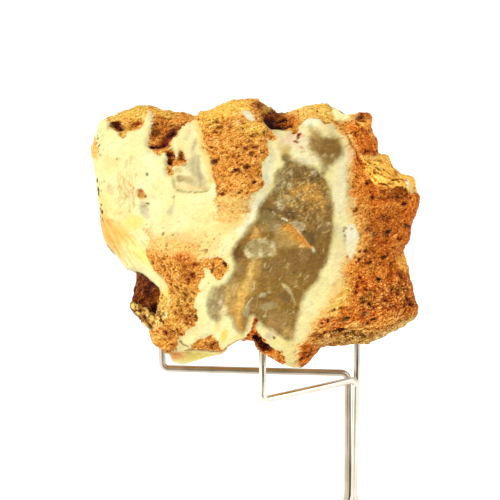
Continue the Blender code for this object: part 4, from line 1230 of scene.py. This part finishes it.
class Nodes:
    """Short ways to add nodes to one material."""

    def __init__(self, name):
        self.material = bpy.data.materials.new(name)
        self.material.use_nodes = True
        self.tree = self.material.node_tree
        self.shader = self.tree.nodes["Principled BSDF"]

    def add(self, kind, **values):
        node = self.tree.nodes.new("ShaderNode" + kind)
        for name, value in values.items():
            self.put(node.inputs[name.replace("_", " ")], value)
        return node

    def put(self, inlet, value):
        if isinstance(value, bpy.types.NodeSocket):
            self.tree.links.new(value, inlet)
        else:
            inlet.default_value = value

    def maths(self, operation, *values):
        node = self.tree.nodes.new("ShaderNodeMath")
        node.operation = operation
        for inlet, value in zip(node.inputs, values):
            self.put(inlet, value)
        return node.outputs[0]

    def vector(self, operation, first, second):
        node = self.tree.nodes.new("ShaderNodeVectorMath")
        node.operation = operation
        self.put(node.inputs[0], first)
        self.put(node.inputs["Scale" if operation == "SCALE" else 1], second)
        return node.outputs["Vector"]

    def mix(self, factor, first, second):
        node = self.tree.nodes.new("ShaderNodeMix")
        node.data_type = "RGBA"
        for name, value in (("Factor", factor), ("A", first), ("B", second)):
            self.put(node.inputs[name], value)
        return node.outputs["Result"]

    def layer(self, name, output):
        node = self.tree.nodes.new("ShaderNodeAttribute")
        node.attribute_name = name
        return node.outputs[output]

    def span(self, value, low, high, start=0.0, end=1.0):
        node = self.add("MapRange", Value=value)
        node.interpolation_type = "SMOOTHSTEP"
        for name, number in (("From Min", low), ("From Max", high),
                             ("To Min", start), ("To Max", end)):
            node.inputs[name].default_value = number
        return node.outputs["Result"]


def stone_material():
    nodes = Nodes("flint_stone")
    nodes.shader.inputs["Specular IOR Level"].default_value = 0.2
    place = nodes.add("TexCoord").outputs["Object"]
    under = nodes.layer("under", "Color")
    over = nodes.layer("over", "Color")
    crust = nodes.layer("crust", "Fac")
    gloss = nodes.layer("gloss", "Fac")
    rubble = nodes.layer("rubble", "Fac")

    # Grain finer than the mesh, part of it drawn out along the slant of the crust
    grain = nodes.add("TexNoise", Vector=place, Scale=1700.0, Detail=4.0, Roughness=0.7)
    drawn_grain = []
    for angle in (RISING, FALLING):
        turned = nodes.add("VectorRotate", Vector=place, Angle=math.radians(angle))
        turned.inputs["Axis"].default_value = (0.0, 1.0, 0.0)
        drawn = nodes.vector("MULTIPLY", turned.outputs["Vector"], (0.4, 1.0, 1.0))
        stroke = nodes.add("TexNoise", Vector=drawn, Scale=1600.0, Detail=3.0, Roughness=0.65)
        drawn_grain.append(stroke.outputs["Fac"])
    rising, falling = drawn_grain
    flecks = nodes.maths("SUBTRACT", falling, rising)
    flecks = nodes.maths("MULTIPLY_ADD", flecks, nodes.layer("falling", "Fac"), rising)
    swing = nodes.maths("ADD", grain.outputs["Fac"], flecks)
    swing = nodes.maths("SUBTRACT", swing, 1.0)
    swing = nodes.maths("MULTIPLY", swing, 1.75)

    # Specks where single grains have fallen out, sunk in the bump and darkened: painted shade in the
    # pits
    wander = nodes.vector("SCALE", grain.outputs["Color"], 0.0009)
    wander = nodes.vector("ADD", wander, place)
    hollow = 0.0
    for scale, rarity in ((620.0, 0.66), (1250.0, 0.5)):
        speck = nodes.add("TexVoronoi", Vector=wander, Scale=scale)
        chosen = nodes.add("SeparateColor", Color=speck.outputs["Color"])
        deep = nodes.span(speck.outputs["Distance"], 0.34, 0.16)
        deep = nodes.maths("MULTIPLY", deep, nodes.span(chosen.outputs[0], rarity, rarity + 0.08))
        hollow = nodes.maths("MAXIMUM", deep, hollow)
    hollow = nodes.maths("MULTIPLY", hollow, nodes.maths("POWER", crust, 2.0))

    # Light grains turn pale yellow and dark ones a deep brown; the same swing raises the bump, so the
    # raised grains are lighter: grain colour and painted light together
    rough_swing = nodes.maths("MULTIPLY", swing, rubble)
    power = nodes.maths("MULTIPLY_ADD", rough_swing, -1.0, 1.0)
    power = nodes.maths("MULTIPLY_ADD", hollow, 0.55, power)
    power = nodes.maths("MAXIMUM", power, 0.35)
    grained = nodes.add("Gamma", Color=over, Gamma=power).outputs["Color"]
    shade = nodes.maths("MULTIPLY_ADD", rough_swing, 0.7, 1.08)
    shade = nodes.maths("MULTIPLY_ADD", hollow, -0.45, shade)
    grained = nodes.vector("SCALE", grained, nodes.maths("MAXIMUM", shade, 0.1))
    free = nodes.maths("SUBTRACT", 1.0, crust)
    even = nodes.maths("MULTIPLY", rough_swing, nodes.maths("POWER", free, 3.0))
    even = nodes.vector("SCALE", under, nodes.maths("MULTIPLY_ADD", even, 1.2, 1.0))

    # The border between crust and skin breaks up into grains
    loose = nodes.maths("MULTIPLY", free, crust)
    loose = nodes.maths("MULTIPLY", loose, swing)
    edge = nodes.maths("MULTIPLY_ADD", loose, -5.0, crust)
    mixed = nodes.mix(nodes.span(edge, 0.15, 0.85), even, grained)
    nodes.put(nodes.shader.inputs["Base Color"], mixed)

    haze = nodes.add("TexNoise", Vector=place, Scale=420.0, Detail=3.0).outputs["Fac"]
    haze = nodes.maths("MULTIPLY_ADD", haze, 0.18, -0.09)
    nodes.put(nodes.shader.inputs["Roughness"], nodes.maths("ADD", haze, gloss))

    height = nodes.maths("MULTIPLY", swing, nodes.maths("MULTIPLY_ADD", rubble, 0.6, 0.04))
    height = nodes.maths("MULTIPLY_ADD", hollow, -0.25, height)
    bump = nodes.add("Bump", Height=height, Distance=0.0004, Strength=1.0)
    nodes.put(nodes.shader.inputs["Normal"], bump.outputs["Normal"])
    return nodes.material


def make_object(name, points, faces, layers, material):
    """A smooth mesh with its layers of values."""
    mesh = bpy.data.meshes.new(name)
    mesh.from_pydata(points.tolist(), [], faces)
    mesh.update()
    mesh.shade_smooth()
    for title, values in layers.items():
        kind, key = ("FLOAT", "value") if values.ndim == 1 else ("FLOAT_COLOR", "color")
        layer = mesh.attributes.new(title, kind, "POINT")
        layer.data.foreach_set(key, values.astype(np.float32).ravel())
    mesh.materials.append(material)
    item = bpy.data.objects.new(name, mesh)
    scene.collection.objects.link(item)
    return item


def surface_colour(colour):
    """The surface's own colour that shows as this picture colour, with alpha."""
    part = np.maximum(colour / 255.0, 0.0)
    light = np.where(part <= 0.04045, part / 12.92, ((part + 0.055) / 1.055) ** 2.4)
    own = np.clip((light - HAZE) / LIGHT_LEVEL, 0.001, 0.97)
    return np.column_stack((own, np.ones(len(own))))


def make_stone():
    directions, faces = sphere_grid(GRID)
    directions = crowd_forward(directions, CROWDING)
    points, behind = stone_shape(directions)
    normals = normals_of(points, faces)
    under, over, layers, relief = paint_stone(points, behind, -normals[:, 1])
    points = points + normals * relief[:, None]
    lean = np.array(Matrix.Rotation(LEAN, 3, "X"))
    points = (points @ lean.T + np.array(CENTRE)) * MM
    layers = {"under": surface_colour(under), "over": surface_colour(over), **layers}
    stone = make_object("flint_body", points, faces.tolist(), layers, stone_material())
    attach(stone, "root")
    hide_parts("flint")


def foot(x, y, heading):
    across = math.cos(math.radians(heading))
    along = math.sin(math.radians(heading))
    inner = FOOT_REACH - FOOT_FLAT
    return [
        (x + FOOT_REACH * across, y + FOOT_REACH * along, FLOOR_LINE),
        (x + inner * across, y + inner * along, FLOOR_LINE),
        (x, y, SPLAY_HEIGHT),
    ]


def rounded_path(corners, radii):
    """Line through the corners with an arc at each inner one."""
    line = [Vector(corners[0])]
    for index in range(1, len(corners) - 1):
        corner = Vector(corners[index])
        back = (Vector(corners[index - 1]) - corner).normalized()
        ahead = (Vector(corners[index + 1]) - corner).normalized()
        half = back.angle(ahead) / 2.0
        radius = radii[index - 1]
        trim = radius / math.tan(half)
        middle = corner + (back + ahead).normalized() * (radius / math.sin(half))
        start = corner + back * trim - middle
        turn = math.pi - 2.0 * half
        axis = start.cross(corner + ahead * trim - middle).normalized()
        for piece in range(ARC_STEPS + 1):
            line.append(middle + Matrix.Rotation(turn * piece / ARC_STEPS, 4, axis) @ start)
    line.append(Vector(corners[-1]))
    return line


def metal_material(name, dull, bright, smooth):
    nodes = Nodes(name)
    nodes.shader.inputs["Metallic"].default_value = 1.0
    place = nodes.add("TexCoord").outputs["Object"]
    cloud = nodes.add("TexNoise", Vector=place, Scale=90.0, Detail=4.0).outputs["Fac"]
    ramp = nodes.add("ValToRGB", Fac=cloud)
    for stop, position, colour in zip(ramp.color_ramp.elements, (0.35, 0.65), (dull, bright)):
        stop.position = position
        stop.color = (*colour, 1.0)
    # The left wire's seam is painted near black: painted shade between the wires.
    seam_shaded = nodes.mix(nodes.layer("seam", "Fac"), ramp.outputs["Color"], SEAM_SHADE)
    nodes.put(nodes.shader.inputs["Base Color"], seam_shaded)
    nodes.put(nodes.shader.inputs["Roughness"], nodes.maths("MULTIPLY_ADD", cloud, 0.12, smooth))
    drawn = nodes.add("TexNoise", Vector=place, Scale=2500.0).outputs["Fac"]
    bump = nodes.add("Bump", Height=drawn, Distance=0.0001, Strength=0.08)
    nodes.put(nodes.shader.inputs["Normal"], bump.outputs["Normal"])
    return nodes.material


def wire_rings(line):
    """Rings along a wire, dome to dome: centre, two directions across it and radius."""
    rings = []
    side = None
    for index, place in enumerate(line):
        ahead = (line[min(index + 1, len(line) - 1)] - line[max(index - 1, 0)]).normalized()
        if side is None:
            side = ahead.orthogonal().normalized()
        side = (side - ahead * side.dot(ahead)).normalized()
        rings.append((place, side, ahead.cross(side), WIRE_DIAMETER / 2))
    domes = []
    for end, inner, (_, side, other, radius) in (
        (line[0], line[1], rings[0]), (line[-1], line[-2], rings[-1]),
    ):
        outward = (end - inner).normalized()
        domes.append([(end + outward * lift, side, other, radius * size) for lift, size in DOME])
    return domes[0][::-1] + rings + domes[1]


def make_wire(name, node, slot, line):
    """A round wire. The left one is painted near black where it touches the next, in its seam: painted
    shade between the wires.
    """
    rings = wire_rings(line)
    points = []
    seam = []
    faces = []
    for number, (place, side, other, radius) in enumerate(rings):
        for turn in range(WIRE_SIDES):
            angle = 2.0 * math.pi * turn / WIRE_SIDES
            outward = side * math.cos(angle) + other * math.sin(angle)
            points.append((place + outward * radius + CENTRE) * MM)
            seam.append(outward.x > 0.55 and SPLAY_HEIGHT - 1.0 < place.z < SEAM_TOP)
            if number:
                here = number * WIRE_SIDES + turn
                after = number * WIRE_SIDES + (turn + 1) % WIRE_SIDES
                faces.append((here - WIRE_SIDES, after - WIRE_SIDES, after, here))
    faces.append(tuple(reversed(range(WIRE_SIDES))))
    faces.append(tuple(range(len(points) - WIRE_SIDES, len(points))))
    layers = {"seam": np.array(seam, dtype=float)} if node == "left_wire" else {}
    item = make_object(name, np.array(points), faces, layers, metal_material(slot, *METAL[slot]))
    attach(item, "root")
    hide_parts(node)


def make_stand():
    left = foot(34.6, 9.7, 175.0)
    left += [(33.7, 9.7, -54.9), (-34.0, 10.0, -53.2), (-34.4, 10.0, -38.0)]
    make_wire("left_rod", "left_wire", "left_metal", rounded_path(left, [15, 18, 2.6, 2.4]))
    front = foot(36.6, 7.6, 300.0)
    front += [(36.6, 7.6, -56.6), (2.4, -13.4, -57.0), (2.2, -13.4, -39.2)]
    make_wire("front_rod", "front_wire", "front_metal", rounded_path(front, [15, 18, 2.8, 2.4]))
    right = foot(36.85, 11.4, 20.0) + [(37.1, 11.4, -36.6)]
    make_wire("right_rod", "right_wire", "right_metal", rounded_path(right, [15, 18]))


def make_camera():
    data = bpy.data.cameras.new("camera")
    camera = bpy.data.objects.new("camera", data)
    scene.collection.objects.link(camera)
    data.sensor_width = 36.0
    data.lens = data.sensor_width * FOCAL_PX / PICTURE
    data.clip_start = 0.01
    data.clip_end = 100.0
    back = Vector((0.0, -math.cos(LEAN), -math.sin(LEAN)))
    up = Vector((0.0, -math.sin(LEAN), math.cos(LEAN)))
    aim = CENTRE * MM + Vector((AIM_X * MM, 0.0, 0.0)) + up * (AIM_Z * MM)
    camera.location = aim + back * (DISTANCE * MM)
    camera.rotation_euler = (math.pi / 2 + LEAN, 0.0, 0.0)
    scene.camera = camera


def make_light():
    world = bpy.data.worlds.new("studio")
    scene.world = world
    world.use_nodes = True
    sky = world.node_tree.nodes["Background"]
    sky.inputs["Color"].default_value = (1.0, 1.0, 1.0, 1.0)
    sky.inputs["Strength"].default_value = SKY
    for name, place, energy, size in (
        ("key", (-0.72, -0.42, 0.66), KEY, 0.4),
        ("fill", (0.8, -0.5, 0.5), FILL, 0.8),
    ):
        lamp = bpy.data.lights.new(name, "AREA")
        lamp.energy = energy
        lamp.size = size
        item = bpy.data.objects.new(name, lamp)
        item.location = place
        aim = CENTRE * MM - item.location
        item.rotation_euler = aim.to_track_quat("-Z", "Y").to_euler()
        scene.collection.objects.link(item)


def make_sheet(name, corners, colour, glow):
    """A flat sheet of the studio."""
    mesh = bpy.data.meshes.new(name)
    mesh.from_pydata(corners, [], [(0, 1, 2, 3)])
    sheet = bpy.data.objects.new(name, mesh)
    scene.collection.objects.link(sheet)
    nodes = Nodes(name)
    nodes.shader.inputs["Base Color"].default_value = (*colour, 1.0)
    nodes.shader.inputs["Roughness"].default_value = 0.9
    nodes.shader.inputs["Specular IOR Level"].default_value = 0.0
    nodes.shader.inputs["Emission Color"].default_value = (1.0, 1.0, 1.0, 1.0)
    nodes.shader.inputs["Emission Strength"].default_value = glow
    mesh.materials.append(nodes.material)
    return sheet


def make_studio():
    floor = [(-6, -6, 0), (6, -6, 0), (6, 6, 0), (-6, 6, 0)]
    make_sheet("floor", floor, (0.8, 0.8, 0.8), FLOOR_GLOW).location.z = -0.0002

    # Dark cards which only reflections show: one ahead, one to the right, one lying ahead
    low, high = CARD_SIDES
    ahead = [(low, CARD_FAR, 0.0), (high, CARD_FAR, 0.0),
             (high, CARD_FAR, CARD_TOP), (low, CARD_FAR, CARD_TOP)]
    beside = [(high, CARD_FAR, 0.0), (CARD_RIGHT, -0.2, 0.0),
              (CARD_RIGHT, -0.2, CARD_LOW), (high, CARD_FAR, CARD_LOW)]
    lying = [(low, CARD_FAR, 0.001), (high, CARD_FAR, 0.001),
             (high, CARD_NEAR, 0.001), (low, CARD_NEAR, 0.001)]
    for name, corners, colour in (
        ("card_ahead", ahead, (0.2, 0.17, 0.13)),
        ("card_beside", beside, (0.02, 0.017, 0.013)),
        ("card_lying", lying, (0.3, 0.26, 0.2)),
    ):
        card = make_sheet(name, corners, colour, 0.0)
        card.visible_camera = False
        card.visible_diffuse = False
        card.visible_shadow = False
        card.visible_transmission = False
        card.visible_volume_scatter = False


scene.view_settings.view_transform = "Standard"
make_camera()
make_light()
make_studio()
make_stone()
make_stand()
